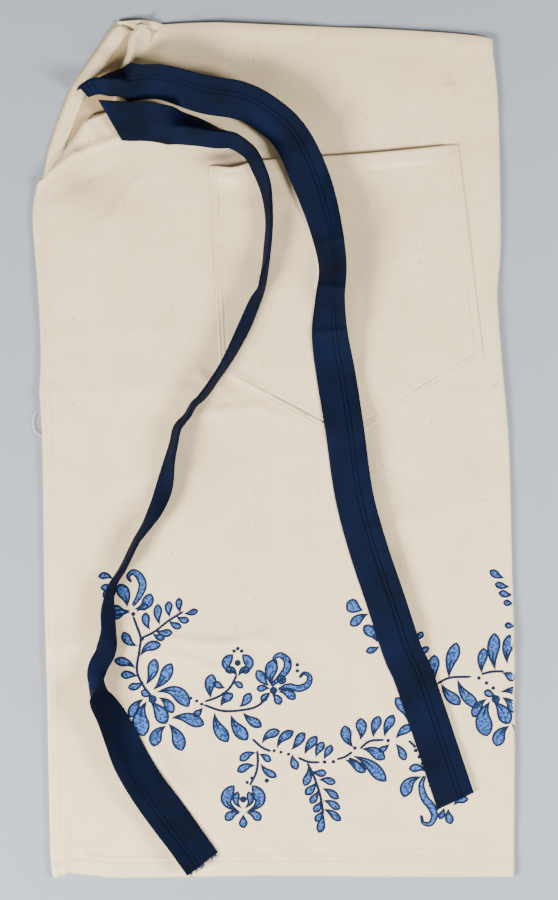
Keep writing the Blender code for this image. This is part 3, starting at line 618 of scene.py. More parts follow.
def build_pocket():
    side = np.array(SIDE_LINES) / 200
    across = np.concatenate([side, np.linspace(side[-1], 1 - side[-1], POCKET_COLUMNS)[1:-1], 1 - side[::-1]])
    lines = [(0.0, mm) for mm in MOUTH_LINES]
    lines += [(share, None) for share in np.linspace(0, 1, POCKET_ROWS)[1:-1]]
    lines += [(1.0, -mm) for mm in POINT_LINES]
    turn = ((POCKET_TURN, 0.62), (1.5, 0.62), (0.0, 0.5), (-0.3, 0.28))
    columns = [(0.0, inset, drop) for inset, drop in turn] + [(u, 0.0, 0.0) for u in across]
    columns += [(1.0, -inset, drop) for inset, drop in turn[::-1]]
    hem = ((MOUTH_HEM, 0.55), (MOUTH_HEM / 2, 0.55), (1.5, 0.6), (0.0, 0.5), (-0.3, 0.28))
    rows = [(0.0, 0.0, inset, drop) for inset, drop in hem] + [(share, mm, 0.0, 0.0) for share, mm in lines]
    rows += [(1.0, 0.0, -inset, drop) for inset, drop in turn[::-1]]
    grid = np.zeros((len(rows), len(columns), 3))
    for r, (share, mm, inset_v, drop_v) in enumerate(rows):
        for c, (u, inset_u, drop_u) in enumerate(columns):
            tall = pocket_point(np.array(u), np.array(0.0))[1] - pocket_point(np.array(u), np.array(1.0))[1]
            first, last = MOUTH_LINES[-1] / tall, 1 - POINT_LINES[0] / tall
            v = first + (last - first) * share if mm is None else share + mm / tall
            x, y = pocket_point(np.array(u), np.array(v))
            grid[r, c] = (x + inset_u, y - inset_v, pocket_height(x, y) - CLOTH / 2 - max(drop_u, drop_v))
    return grid


pocket = grid_object("patch_pocket", build_pocket(), [calico_right], flip=True)
thicken(pocket, 0.42)
# painted shade patches on the pocket
paint_shade(pocket)
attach(pocket, "apron")
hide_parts("pocket", "pocket_mouth_hem")


def cloth_top(x, y):
    """Height of the uppermost calico at a point, the patch included."""
    sewn, mouth = pocket_edge_distance(x, y)
    on_patch = (sewn > -0.2) & (mouth > -0.2)
    return np.where(on_patch, pocket_height(x, y), front_height(x, y))


# ---- Waist ties ------------------------------------------------------------------------------
# Two ties of navy cotton tape, 32 mm wide, each folded from a wider strip so that its raw edges meet
# in two lines down one face. One end of each is sewn inside the slanted edge and the other is cut raw.
TIE_HALF = 16.0
TIE_STEP = 2.0
TIE_WOBBLE = 0.25             # wave of the edges where a tie is raised
TIE_CLEARANCE = 0.2           # under the lowest line of a tie
UPPER_ROUTE = (
    (-152.2, 283.8, 0.3, 60, 150), (-142.7, 288.2, 1, 44, 134), (-131.7, 290.5, 2, 38, 108),
    (-119.9, 292, 3, 36, 82), (-108, 291.7, 3.5, 35, 0), (-87.2, 291.2, 4.5, 37, 0),
    (-55.7, 282.4, 6, 25, 0), (-25.5, 276.8, 7, 26, 0), (-4.9, 265.8, 7, 26, 0), (13.3, 248.6, 6, 26, 0),
    (28.3, 218.3, 4, 18, 0), (40, 182.8, 2.5, 35, 0), (46.8, 147.1, 1.2, 47, 0), (44.8, 120, 0.6, 43, 0),
    (44.7, 91.9, 0.3, 27, 0), (50.4, 55.9, 0.2, 12, 0), (56.6, 16.7, 0.2, 15, 0), (64, -35.2, 0, 18, 0),
    (74.9, -76.6, 0, 15, 0), (89.5, -120.2, 0, 12, 0), (102.8, -160.6, 0, 10, 0), (111.2, -179, 0, 3, 0),
    (123.9, -215.9, 0, 3, 0), (145.3, -280.1, 0, 3, 0))
LOWER_ROUTE = (
    (-130, 262.4, 0.3, 20, 0), (-115.1, 261.6, 0.8, 20, 0), (-100.5, 261.2, 1.2, 21, 0),
    (-86.2, 258.9, 1.6, 28, 10), (-76.3, 256.8, 2, 32, 64), (-60.6, 253.1, 2, 36, 90),
    (-45.8, 248.5, 1.6, 40, 114), (-34.5, 246.3, 1.2, 44, 132), (-24.7, 241, 1, 48, 160),
    (-17.4, 234.3, 0.8, 50, 162), (-12, 223.4, 0.6, 51, 164), (-7.4, 211.9, 0.4, 56, 165),
    (-4.8, 199, 0.3, 67, 165), (-3.5, 180, 0.2, 74, 165), (-5.4, 156, 0, 74, 165),
    (-7.6, 138.1, 0, 90, 165), (-9.8, 127.5, 0, 91, 165), (-14.7, 117.4, 0, 104, 165),
    (-22.8, 98.5, 0, 109, 165), (-31.2, 81.4, 0, 102, 165), (-37.7, 69.8, 0, 96, 165),
    (-44.5, 59.2, 0, 91, 165), (-55.5, 43.6, 0, 91, 165), (-63.5, 36.4, 0, 82, 165),
    (-69.2, 26.9, 0, 74, 165), (-76.5, 17.7, 0, 68, 165), (-79.5, 5, 0, 67, 165), (-83.1, -9.9, 0, 57, 165),
    (-87.1, -29.9, 0, 32, 165), (-93, -46, 0, 42, 165), (-101.4, -60.7, 0, 64, 165),
    (-109.5, -72.7, 0, 74, 165), (-114.4, -82.6, 0, 74, 165), (-120.6, -95.2, 0, 80, 165),
    (-127.5, -106.8, 0, 91, 165), (-130.7, -118.2, 0, 98, 165), (-131.5, -130.1, 0, 114, 165),
    (-131, -145.1, 0, 114, 160), (-133.1, -160.5, 0, 150, 150), (-139, -172.1, 0, 147, 138),
    (-140.7, -184, 0, 140, 102), (-137.6, -196.3, 0.3, 150, 54), (-128.7, -211.7, 0.3, 160, 46),
    (-120.8, -229.4, 0.3, 168, 38), (-112.3, -248.7, 0.2, 159, 10), (-99.8, -269.5, 0.2, 157, 0),
    (-85.2, -289.9, 0.2, 165, 0), (-70.8, -309.1, 0.2, 158, 0), (-56.3, -329.6, 0.2, 158, 0))


# Small creases across the upper tie: distance from its root and height.
UPPER_CREASES = ((267, 0.7), (303, 1.9), (338, 1.6), (497, 0.6))


def resampled(route, step):
    """A smooth route at even steps along its own line."""
    pts = np.array(route, float)
    run = np.concatenate([[0], np.cumsum(np.hypot(*np.diff(pts[:, :2], axis=0).T))])
    columns = [smooth_table(np.stack([run, pts[:, k]], 1)) for k in range(pts.shape[1])]
    count = int(run[-1] / step) + 1
    where = np.linspace(0, run[-1], count)
    return np.stack([column(where) for column in columns], 1)


def tape_section():
    """Places round the tape, across it and off its middle, from the left edge over the grooved face."""
    top = [(-16, 0), (-15.75, .3), (-15.0, .45), (-12, .45), (-9, .45), (-6, .45), (-3.4, .45), (-1.2, .45),
           (0, .45), (1.2, .45), (1.9, .45), (2.25, .42), (2.4, -.1), (2.85, -.1), (3.0, .32), (3.3, .36),
           (5.7, .36), (6.0, .32), (6.15, -.1), (6.6, -.1), (6.75, .42), (7.1, .45), (9, .45), (12, .45),
           (15, .45), (15.75, .3), (16, 0)]
    low = [(15.75, -.3), (15, -.45), (12, -.45), (9, -.45), (6, -.45), (3.4, -.45), (1.2, -.45), (0, -.45),
           (-1.2, -.45), (-3.4, -.45), (-6, -.45), (-9, -.45), (-12, -.45), (-15, -.45), (-15.75, -.3)]
    return np.array(top + low, float)


def bent_section(lean, doubled):
    """Plane places of the tape's mid line and its face direction for each half-width position."""
    w = np.linspace(-TIE_HALF, TIE_HALF, 129)
    turn = lean - doubled * ease((w + 1.5) / 3.0)
    level = np.concatenate([[0], np.cumsum(np.cos((turn[1:] + turn[:-1]) / 2) * np.diff(w))])
    up = np.concatenate([[0], np.cumsum(np.sin((turn[1:] + turn[:-1]) / 2) * np.diff(w))])
    return w, level, up, turn


def tie_mesh(name, route, root_skew, end_skew, wobble, groove_face, creases):
    """The tape as one closed loft that lies on the cloth below it."""
    stations = resampled(route, TIE_STEP)
    section = tape_section() * (1, groove_face)
    place, off = section[:, 0], section[:, 1]
    n = len(stations)
    centres = stations[:, :2]
    places = []
    gaps = []
    for i in range(n):
        along = centres[min(i + 1, n - 1)] - centres[max(i - 1, 0)]
        along = along / np.hypot(*along)
        across = np.array((-along[1], along[0]))
        lift, lean, doubled = stations[i, 2], math.radians(stations[i, 3]), math.radians(stations[i, 4])
        w, level, up, turn = bent_section(lean, doubled)
        level = level - (level.max() + level.min()) / 2
        s_level = np.interp(place, w, level) - off * np.sin(np.interp(place, w, turn))
        s_up = np.interp(place, w, up) + off * np.cos(np.interp(place, w, turn))
        wave = np.sin(i * 0.23 + 0.4 * place / 16) * (place / 16) ** 2
        ripple = wobble * wave * (lift > 0.1)
        run = i * TIE_STEP
        rest = (n - 1 - i) * TIE_STEP
        skew = root_skew * ease(1 - run / 26) + end_skew * ease(1 - rest / 26)
        xy = centres[i] + across * s_level[:, None] + along * (skew * place / 16)[:, None]
        for r0, rise in creases:
            ripple = ripple + rise * math.exp(-((run - r0) / 2.6) ** 2) * (1 + 0.35 * place / 16)
        gaps.append(np.min(s_up - cloth_top(xy[:, 0], xy[:, 1])))
        places.append(np.concatenate([xy, (s_up + lift + ripple + TIE_CLEARANCE)[:, None]], 1))
    # the tape is too stiff to dip into every hollow: it spans from one high place to the next
    span = np.pad(gaps, 3, "edge")
    span = np.pad([span[i:i + 7].min() for i in range(n)], 3, "edge")
    rings = np.array(places)
    rings[:, :, 2] -= np.array([span[i:i + 7].mean() for i in range(n)])[:, None]
    count = len(section)
    base = np.arange(n - 1)[:, None] * count
    around = np.arange(count)[None]
    nxt = (around + 1) % count
    quads = np.stack([base + around, base + nxt, base + nxt + count, base + around + count], -1)
    ends = [list(range(count))[::-1], [(n - 1) * count + k for k in range(count)]]
    faces = quads.reshape(-1, 4).tolist() + ends
    return mesh_object(name, (rings.reshape(-1, 3) * MM).tolist(), faces, outward=True), rings


def navy_cotton(name, light, dark):
    """Dyed cotton twill: matt, very dark blue, with a faint diagonal rib and paler and darker patches at
    random.

    The ribs are about 0.5 mm apart, drawn at 1.1 mm so that they show.
    """
    made, tree, shader = new_material(name)
    point = object_coordinates(tree)
    patches = add(tree, "ShaderNodeTexNoise", Vector=point, Scale=1 / 26.0, Detail=5.0)
    spread = add(tree, "ShaderNodeMapRange", i0=patches.outputs[0], i1=0.3, i2=0.75, i3=0.0, i4=1.0)
    colour = add(tree, "ShaderNodeMix", {"data_type": "RGBA"}, i0=spread.outputs[0], i6=linear(dark),
                 i7=linear(light))
    tree.links.new(colour.outputs[2], shader.inputs["Base Color"])
    ribs = add(tree, "ShaderNodeTexWave", {"bands_direction": "DIAGONAL"}, Vector=point, Scale=0.314 / 1.1,
               Distortion=0.8)
    fuzz = add(tree, "ShaderNodeTexNoise", Vector=point, Scale=1.2, Detail=2.0)
    relief = add(tree, "ShaderNodeMath", {"operation": "ADD"}, i0=ribs.outputs["Fac"], i1=fuzz.outputs[0])
    bump = add(tree, "ShaderNodeBump", Height=relief.outputs[0], Strength=0.3, Distance=0.12 * MM)
    tree.links.new(bump.outputs[0], shader.inputs["Normal"])
    shader.inputs["Roughness"].default_value = 0.8
    shader.inputs["Specular IOR Level"].default_value = 0.07
    return made


navy_tape = navy_cotton("navy_cotton_twill", "#040E28", "#020716")
# A hinge point for each tie and a run 50 mm inwards from it; sew takes them only as a sign to leave the tie
# seams unattached.
BLEND_RUN = Vector((0.894, -0.447, 0.0)) * 50 * MM
TIE_HINGES = {"upper": Vector((-0.15715, 0.28804, 0.0116)), "lower": Vector((-0.16067, 0.28098, 0.0116))}
ties = {}
for label, route, root_skew, end_skew, groove_face, creases, flat_length in (
        ("upper", UPPER_ROUTE, -3.0, -2.0, 1, UPPER_CREASES, 0.734),
        ("lower", LOWER_ROUTE, -10.0, 0.0, -1, (), 0.75)):
    tie, rings = tie_mesh(f"waist_tie_{label}", route, root_skew, end_skew, TIE_WOBBLE, groove_face, creases)
    tie.data.materials.append(navy_tape)
    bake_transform(tie)
    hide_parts(f"{label}_tie")
    ties[label] = rings

# ---- Stitching -------------------------------------------------------------------------------
# Every seam is a row of lockstitch in cotton thread: short tight stitches that sink a little into
# the cloth, about 3.5 mm apart. The pocket corners and the tie roots are sewn over several times.
STITCH_PITCH = 3.6
STITCH_LENGTH = 2.6
THREAD = 0.5


def stitch_tree():
    """Geometry nodes that set one stitch at each pitch along the curves of a seam."""
    tree = bpy.data.node_groups.new("stitch_row", "GeometryNodeTree")
    face = tree.interface
    face.new_socket("Geometry", in_out="INPUT", socket_type="NodeSocketGeometry")
    for name in ("Pitch", "Stitch Length", "Thread"):
        face.new_socket(name, in_out="INPUT", socket_type="NodeSocketFloat")
    face.new_socket("Material", in_out="INPUT", socket_type="NodeSocketMaterial")
    face.new_socket("Geometry", in_out="OUTPUT", socket_type="NodeSocketGeometry")
    given = tree.nodes.new("NodeGroupInput").outputs
    spaced = add(tree, "GeometryNodeResampleCurve", {"mode": "LENGTH"}, Curve=given["Geometry"],
                 Length=given["Pitch"])
    tangent = add(tree, "GeometryNodeInputTangent")
    turned = add(tree, "FunctionNodeAlignRotationToVector", {"axis": "Z"}, Vector=tangent.outputs[0])
    size = add(tree, "ShaderNodeCombineXYZ", X=given["Thread"], Y=given["Thread"], Z=given["Stitch Length"])
    stitch = add(tree, "GeometryNodeMeshUVSphere", Segments=6, Rings=4, Radius=0.5)
    placed = add(tree, "GeometryNodeInstanceOnPoints", Points=spaced.outputs[0], Instance=stitch.outputs[0],
                 Rotation=turned.outputs[0], Scale=size.outputs[0])
    real = add(tree, "GeometryNodeRealizeInstances", Geometry=placed.outputs[0])
    round_off = add(tree, "GeometryNodeSetShadeSmooth", Geometry=real.outputs[0])
    coloured = add(tree, "GeometryNodeSetMaterial", Geometry=round_off.outputs[0], Material=given["Material"])
    out = tree.nodes.new("NodeGroupOutput")
    tree.links.new(coloured.outputs[0], out.inputs[0])
    return tree


def cotton_thread(name, colour):
    """Spun cotton thread: matt, a touch lighter than the cloth under it, with a fine twist in its surface."""
    made, tree, shader = new_material(name)
    point = object_coordinates(tree)
    twist = add(tree, "ShaderNodeTexNoise", Vector=point, Scale=2.2, Detail=1.0)
    bump = add(tree, "ShaderNodeBump", Height=twist.outputs[0], Strength=0.4, Distance=0.08 * MM)
    tree.links.new(bump.outputs[0], shader.inputs["Normal"])
    shader.inputs["Base Color"].default_value = linear(colour)
    shader.inputs["Roughness"].default_value = 0.75
    shader.inputs["Specular IOR Level"].default_value = 0.3
    return made


stitch_row = stitch_tree()
cream_thread = cotton_thread("cream_cotton_thread", "#E0D0AE")
navy_thread = cotton_thread("navy_cotton_thread", "#14264A")


def sew(name, lines, material, nodes, pitch=STITCH_PITCH, length=STITCH_LENGTH, thread=THREAD,
        body="apron", blend=None):
    """Stitches along lines of points in millimetres, as one plain mesh."""
    path = bpy.data.curves.new(name, "CURVE")
    path.dimensions = "3D"
    for line in lines:
        spline = path.splines.new("POLY")
        spline.points.add(len(line) - 1)
        places = np.concatenate([np.asarray(line) * MM, np.ones((len(line), 1))], 1)
        spline.points.foreach_set("co", places.ravel())
    guide = bpy.data.objects.new(f"{name}_path", path)
    bpy.context.scene.collection.objects.link(guide)
    nodes_modifier = guide.modifiers.new("stitches", "NODES")
    nodes_modifier.node_group = stitch_row
    values = {"Pitch": pitch * MM, "Stitch Length": length * MM, "Thread": thread * MM, "Material": material}
    for item in stitch_row.interface.items_tree:
        if item.in_out == "INPUT" and item.name in values:
            nodes_modifier[item.identifier] = values[item.name]
    graph = bpy.context.evaluated_depsgraph_get()
    mesh = bpy.data.meshes.new_from_object(guide.evaluated_get(graph))
    bpy.data.objects.remove(guide)
    mesh.name = name
    made = bpy.data.objects.new(name, mesh)
    bpy.context.scene.collection.objects.link(made)
    if blend is None:
        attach(made, body)
    else:
        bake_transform(made)
    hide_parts(*nodes)
    return made


def laid(points, height, sink=0.1):
    """A line of points laid on a surface."""
    points = np.asarray(points, float)
    return np.concatenate([points, (height(points[:, 0], points[:, 1]) - sink + 0.05)[:, None]], 1)


def polyline(corners, step=2.0):
    """Close points along straight runs."""
    out = []
    for a, b in zip(corners[:-1], corners[1:]):
        count = max(2, int(math.dist(a, b) / step))
        out += [np.array(a) + (np.array(b) - np.array(a)) * k / count for k in range(count)]
    return np.array(out + [np.array(corners[-1])])


x_run = np.arange(-172, 188, 2.0)
row = np.stack([x_run, bottom_edge(x_run) + BOTTOM_HEM - HEM_STITCH], 1)
sew("bottom_hem_stitches", [laid(row, front_height)], cream_thread, ["bottom_hem_stitch"])
y_run = np.arange(-324, 210, 2.0)
row = np.stack([front_left(y_run) + SIDE_HEM - HEM_STITCH, y_run], 1)
sew("side_hem_stitches", [laid(row, front_height)], cream_thread, ["side_hem_stitch"])
y_run = np.arange(222, 322, 2.0)
for half, left, height in (("front", front_left, front_height),
                           ("back", back_left, lambda x, y: over_back(x, y) + 0.22)):
    row = np.stack([left(y_run), y_run], 1) + SLANT_INWARD * (CASING - 1.8)
    sew(f"armhole_stitches_{half}", [laid(row, height)], cream_thread,
        [f"armhole_stitch_{half}"])


def inset_corners(distance):
    """Corners of the pocket's sewn outline, moved inwards."""
    ring = [POCKET_CORNERS[i] for i in (1, 2, 3, 4, 0)]
    lines = []
    for a, b in zip(ring[:-1], ring[1:]):
        length = math.dist(a, b)
        ux, uy = (b[0] - a[0]) / length, (b[1] - a[1]) / length
        lines.append(((a[0] + uy * distance, a[1] - ux * distance), (ux, uy)))
    out = [lines[0][0]]
    for (p, d), (q, e) in zip(lines[:-1], lines[1:]):
        cross = d[0] * e[1] - d[1] * e[0]
        k = ((q[0] - p[0]) * e[1] - (q[1] - p[1]) * e[0]) / cross
        out.append((p[0] + d[0] * k, p[1] + d[1] * k))
    (q, e) = lines[-1]
    length = math.dist(ring[-2], ring[-1])
    out.append((q[0] + e[0] * (length - 1), q[1] + e[1] * (length - 1)))
    return out


for label, distance in (("outer", POCKET_SEAMS[0]), ("inner", POCKET_SEAMS[1])):
    row = polyline(inset_corners(distance))
    sew(f"pocket_stitches_{label}", [laid(row, pocket_height)], cream_thread,
        [f"pocket_seam_{label}"])
mouth = np.array(POCKET_CORNERS[:2])
down = np.array((0.085, -0.996))
row = polyline([mouth[0] + down * 10 + (3, 0), mouth[1] + down * 10 - (3, 0)])
sew("pocket_mouth_stitches", [laid(row, pocket_height)], cream_thread,
    ["pocket_mouth_stitch"])
for label, corner, way in (("side", mouth[0], 1), ("fold", mouth[1], -1)):
    zigzag = [corner + down * (1.5 + 0.55 * k) + (way * (2.0 if k % 2 else 5.0), 0) for k in range(18)]
    sew(f"pocket_corner_tack_{label}", [laid(np.array(zigzag), pocket_height, -0.1)], cream_thread,
        [f"pocket_tack_{label}"], 1.4, 1.8)
for label in ("upper", "lower"):
    lines = [ties[label][k][1:21] + (0, 0, 0.12) for k in (2, 4)]
    sew(f"tie_seam_{label}", lines, navy_thread, [f"{label}_tie_seam"], 2.6, 2.2, 0.45,
        f"tie_{label}", (TIE_HINGES[label], TIE_HINGES[label] + BLEND_RUN))

# ---- Printed border --------------------------------------------------------------------------
# A border of scrolling leaves, tulips and blossoms, block printed in two blues of fabric ink: pale
# mottled fills inside dark outlines. The ink lies in the cloth's surface and goes round the centre fold.
INK_LINE = 1.6
STEM_WIDTH = 2.1
FILL_RISE = 0.10
LINE_RISE = 0.15
# Leaves and petals: base x, y, tip x, y, width, bend. The bend is a share of the length, and a
# positive one curves to the left on the way out.
LEAVES = (
    # tulip at the side hem
    (-128.6, -103, -139.5, -102, 5, -.2), (-127, -107, -138, -109, 5, .15),
    (-125, -111, -136.5, -116, 7.5, .1), (-117, -125, -124.5, -108, 9, -.12),
    (-110.7, -126.8, -99.5, -114, 8, -.25), (-115, -128, -129, -124, 7, .2),
    (-115, -130, -128, -135.5, 6.5, -.2), (-109, -129, -100, -126, 5, .2),
    # leafy branch
    (-98.8, -143, -101, -130, 6, .15), (-91, -139, -91, -123.5, 6, .1), (-83, -133, -82.5, -121.2, 5.5, .1),
    (-74.5, -129.5, -74.5, -118.5, 5, .1), (-71, -130.5, -61, -127.4, 4.5, -.1),
    (-94, -144, -81, -144.5, 5.5, -.15), (-95.8, -147, -87, -150, 5, -.1),
    (-83, -136.5, -73.5, -140.5, 5, -.15), (-77, -133, -67.5, -135.5, 5, -.15),
    # main stem
    (-109, -156, -118.5, -144.8, 6.5, .2), (-106, -164, -89.5, -157, 7, .22),
    (-110.7, -174, -127, -169.5, 6.5, -.15), (-109, -180.6, -121.5, -180.5, 6, -.1),
    (-104, -185, -116, -188.5, 5.5, .15), (-101.7, -187, -96.5, -166.5, 8, -.12),
    (-95.8, -191, -83.5, -169.5, 8.5, -.12),
    # spray
    (-50, -197.7, -47.5, -179.5, 8, .12), (-42, -204.5, -32, -195.8, 6.5, .15),
    (-27, -205, -19.5, -193.8, 6.5, -.12), (-47, -210.4, -34.6, -231.5, 9, -.14),
    (-33.8, -212, -19.4, -229.8, 9, -.12), (-24, -210, -9, -219.5, 7, -.1), (-57, -206, -64, -212, 5, .1),
    (-39, -190, -47, -185, 5, .1), (-33, -186, -25.5, -190.5, 4.5, .2),
    (-29.5, -180, -38.5, -177, 5.5, -.3), (-27.7, -180, -18.7, -177, 5.5, .3),
    (-30, -178, -31.2, -163.5, 7, .5), (-27.2, -178, -26, -163.5, 7, -.5),
    # tulip in the middle
    (-4, -188, -12, -175.5, 7, .1), (-3.5, -190.5, -13, -191.5, 5, -.1), (-1.5, -188, 1.5, -168, 9, .12),
    (4.3, -193.3, 16.5, -200, 6.5, .2), (-1, -195, 4.5, -203.5, 6, .15), (-3, -194, -9, -201, 5, -.1),
    # second vine
    (-9, -234, 5.5, -226, 6.5, .2), (3, -237.5, 16.8, -226, 6.5, .18),
    (14.5, -239, 23.6, -225.2, 6.5, -.05), (15, -243.5, 19.5, -254.5, 6, -.1),
    (25, -242.5, 35.6, -229.8, 6.5, .1), (34, -244.8, 40.6, -234, 6, .1),
    (40.5, -246.5, 47, -236.5, 5.5, .05),
    # lower sprig
    (-14.4, -241.8, -26, -249, 6, -.15), (-15, -252, -28, -258, 6, -.15),
    (-10, -250.7, 3, -259.7, 5.5, -.15), (-11, -243, -3, -249, 5, .1),
    # hanging fern
    (27.6, -253, 23.5, -267.5, 6, .15), (33.6, -265.7, 25, -274.3, 6, .1),
    (35, -272.5, 29, -281.4, 5.5, .1), (37.8, -280, 32, -288.5, 5.5, .1), (38.8, -288, 33, -295.8, 5, .1),
    (31.3, -256.7, 42, -257.3, 5.5, -.1), (36.6, -263.4, 49, -266.8, 5.5, .1),
    (39.5, -270.5, 51, -279.4, 5.5, .1), (40.3, -280, 52.2, -287.6, 5.5, .1),
    (40.5, -287, 52.6, -296.8, 5.5, .1), (40.2, -291.5, 37.5, -305.5, 6, -.05),
    # palmette
    (63.4, -237, 58.5, -220, 8, .15), (69.4, -231, 68.2, -214.6, 8, -.1), (79.8, -229, 85.5, -213, 7, .1),
    (88.8, -228.6, 97, -212.4, 7, .1), (98, -230, 110.7, -221, 6.5, .1), (107.5, -217.4, 96, -199, 8, -.15),
    (97.8, -235, 104, -248, 6, .1), (57.5, -247.5, 72, -258.5, 6.5, .1), (64, -244.5, 87.6, -266.5, 9, .12),
    (71, -238.8, 87.6, -248.3, 8, .15), (92, -235, 84, -240, 4.5, .1),
    # flower by the tie's end
    (121.7, -256.7, 108.5, -256, 6, -.2), (118, -261, 106, -278, 9, -.25), (136, -286, 132, -294, 4.5, .1),
    (139.6, -287, 142.4, -298, 6, -.1), (144, -283.6, 155.5, -280, 5, .2), (124, -268, 133, -279, 8, .2),
    # sprig at the left of the upper tie
    (71, -127.8, 59.4, -121, 10, .1), (75.4, -131, 62.5, -141, 7, -.1), (82.8, -153, 71.4, -141.5, 8, -.12),
    (84, -157, 74, -160, 5, .1),
    # branches at the right of the tie
    (115, -152, 119.5, -146, 4.5, .1), (117, -164, 124, -158, 4.5, .1), (129, -185, 130.4, -164, 8, .1),
    (140.3, -181.6, 148.6, -155, 9, .1), (134.3, -187, 150.3, -201.5, 8, -.12),
    (147, -183.6, 164.5, -204, 8, -.12), (166.4, -177.8, 169.8, -158.7, 7, .1),
    (177, -175, 179, -146.7, 9, .1), (186.6, -170, 190.6, -148, 8, .1), (183, -178, 192, -184, 6, .1),
    # sprig at the fold
    (183.6, -102, 173.6, -95.6, 5.5, .1), (188, -109, 177.4, -106, 5, .1),
    (190.6, -115.5, 180.4, -113, 5, .1), (191, -122, 184, -121, 4.5, .1), (192, -140, 185, -139, 4.5, .1),
    (194, -104, 199, -94, 5.5, .1), (195, -114, 204, -108, 5, .1))
# The blossom is printed twice, one repeat of the border apart.
BORDER_REPEAT = 274.0
BLOSSOM = (
    (-92.8, -193.3, -69.5, -207, 10, .28), (-91.3, -197.7, -81.5, -210.5, 7, .15),
    (-98, -201, -87.3, -219, 10, .1), (-101.3, -201, -100.8, -228, 12, -.2),
    (-86, -220.5, -94, -237, 9, -.2), (-83.5, -219, -75, -240.5, 9.5, .12),
    (-81.3, -214, -56.5, -221.5, 9, .14), (-104, -199, -113, -214, 7, -.15),
    (-97, -196, -105, -192, 5.5, .1))
DOTS = ((-24.2, -279, 2.2), (-28.6, -170, 2.1), (-112, -131, 1.8), (-96.5, -199, 3.0), (177.5, -199, 3.0),
        (-66, -198.2, 1.4), (-61.4, -200.4, 1.4), (-57.4, -203, 1.4), (-31.5, -160.5, 1.6),
        (-28.5, -158.5, 1.6), (-25.4, -160.5, 1.6), (0, -192, 2.6), (6.5, -183.5, 3.4), (13, -169, 1.6),
        (19, -171.6, 1.6), (19, -176.4, 1.6), (0.5, -240, 1.4), (6, -241.2, 1.4), (12, -242.8, 1.4),
        (40.8, -249.2, 1.6), (47.8, -248.9, 1.6), (-17.4, -262, 1.4), (-21, -265.5, 1.4), (-5.4, -264, 1.9),
        (65, -238, 1.6), (91.5, -232, 1.6), (113.4, -240, 1.6), (116.4, -245, 1.6), (119, -250.3, 1.6),
        (164, -182, 1.6), (170, -186, 1.6), (175.4, -190, 1.6), (-39.5, -199.5, 1.6), (127, -259, 2.6),
        (-105, -150.5, 1.9))
STEMS = (((-112, -133), (-109, -141), (-106, -150), (-107, -160), (-109, -176), (-104, -188), (-97, -197)),
         ((-105, -150), (-95, -145), (-84, -136.5), (-72, -129)),
         ((-55, -201), (-44, -197), (-35, -190), (-29, -179)),
         ((-56, -203.5), (-40, -208.5), (-23, -207.4), (-12, -204), (-3, -195)),
         ((-17, -230.6), (-9, -237.5), (-2, -240.5)), ((19.5, -245.5), (28, -249), (37, -249.4)),
         ((-13, -240), (-12.5, -249), (-14, -258), (-19, -268)),
         ((27, -250), (32, -260), (37.3, -276), (39.8, -291)), ((50.5, -247), (57, -245), (63, -241)),
         ((69, -238.5), (77, -232.5), (88.5, -231.5)), ((131, -186.5), (141, -181.8), (158, -181)),
         ((166, -179), (174, -177), (184, -176.6)), ((60, -246), (67, -249), (74, -256)),
         ((108, -232), (112, -236), (113, -238)))
# The bell flower under the lower sprig.
BELL = ((-27, -290, -37.5, -296.5, 6.5, -.2), (-24.2, -291.5, -24.2, -301.5, 6, 0),
        (-21.4, -290, -11, -296.5, 6.5, .2), (-26.5, -289, -29.5, -268, 8.5, .46),
        (-21.9, -289, -18.9, -268, 8.5, -.46), (-25.4, -286, -27, -273, 5, .3),
        (-23, -286, -21.4, -273, 5, -.3))

# Petals that roll up at the end, as points along their middle and a width.
SCROLLS = (
    (120.4, -260.8, 118, -268, 120.4, -277.6, 126, -284.8, 128.4, -292, 125.2, -298.4, 119.6, -297.6,
     118, -292, 5.5),
    (-1.4, -188, 6, -180.8, 10.8, -174.4, 10.8, -168, 5.2, -163.6, 0.6, -166.4, 2.6, -170.4, 5.5),
    (4.3, -191, 12, -188.5, 20, -190.5, 27, -187.5, 29, -181.5, 24.5, -178.2, 21, -181.5, 4.8),
    (-112, -124, -107, -116, -104.5, -108, -107, -101, -112, -97.5, -116, -101, -114, -105, 5.5))

RAY_START = 12                # how far off the fold's centre a point of ink is dropped from
cloth_tree = BVHTree.FromPolygons([v.co / MM for v in apron_cloth.data.vertices],
                                  [tuple(p.vertices) for p in apron_cloth.data.polygons])


def on_cloth(x, y, rise):
    """A point of the print laid on the finished cloth, going round the centre fold past its edge."""
    fold_x = float(right_edge(y)) - FOLD_RADIUS
    angle = min(max(0.0, (x - fold_x) / FOLD_RADIUS), math.pi)
    beyond = max(0.0, x - fold_x - math.pi * FOLD_RADIUS)
    out = Vector((math.sin(angle), 0.0, math.cos(angle)))
    centre = Vector((min(x, fold_x) - beyond, y, 2.0))
    hit = cloth_tree.ray_cast(centre + out * RAY_START, -out, RAY_START + 2)[0]
    if hit is None:
        return centre
    return hit + out * rise


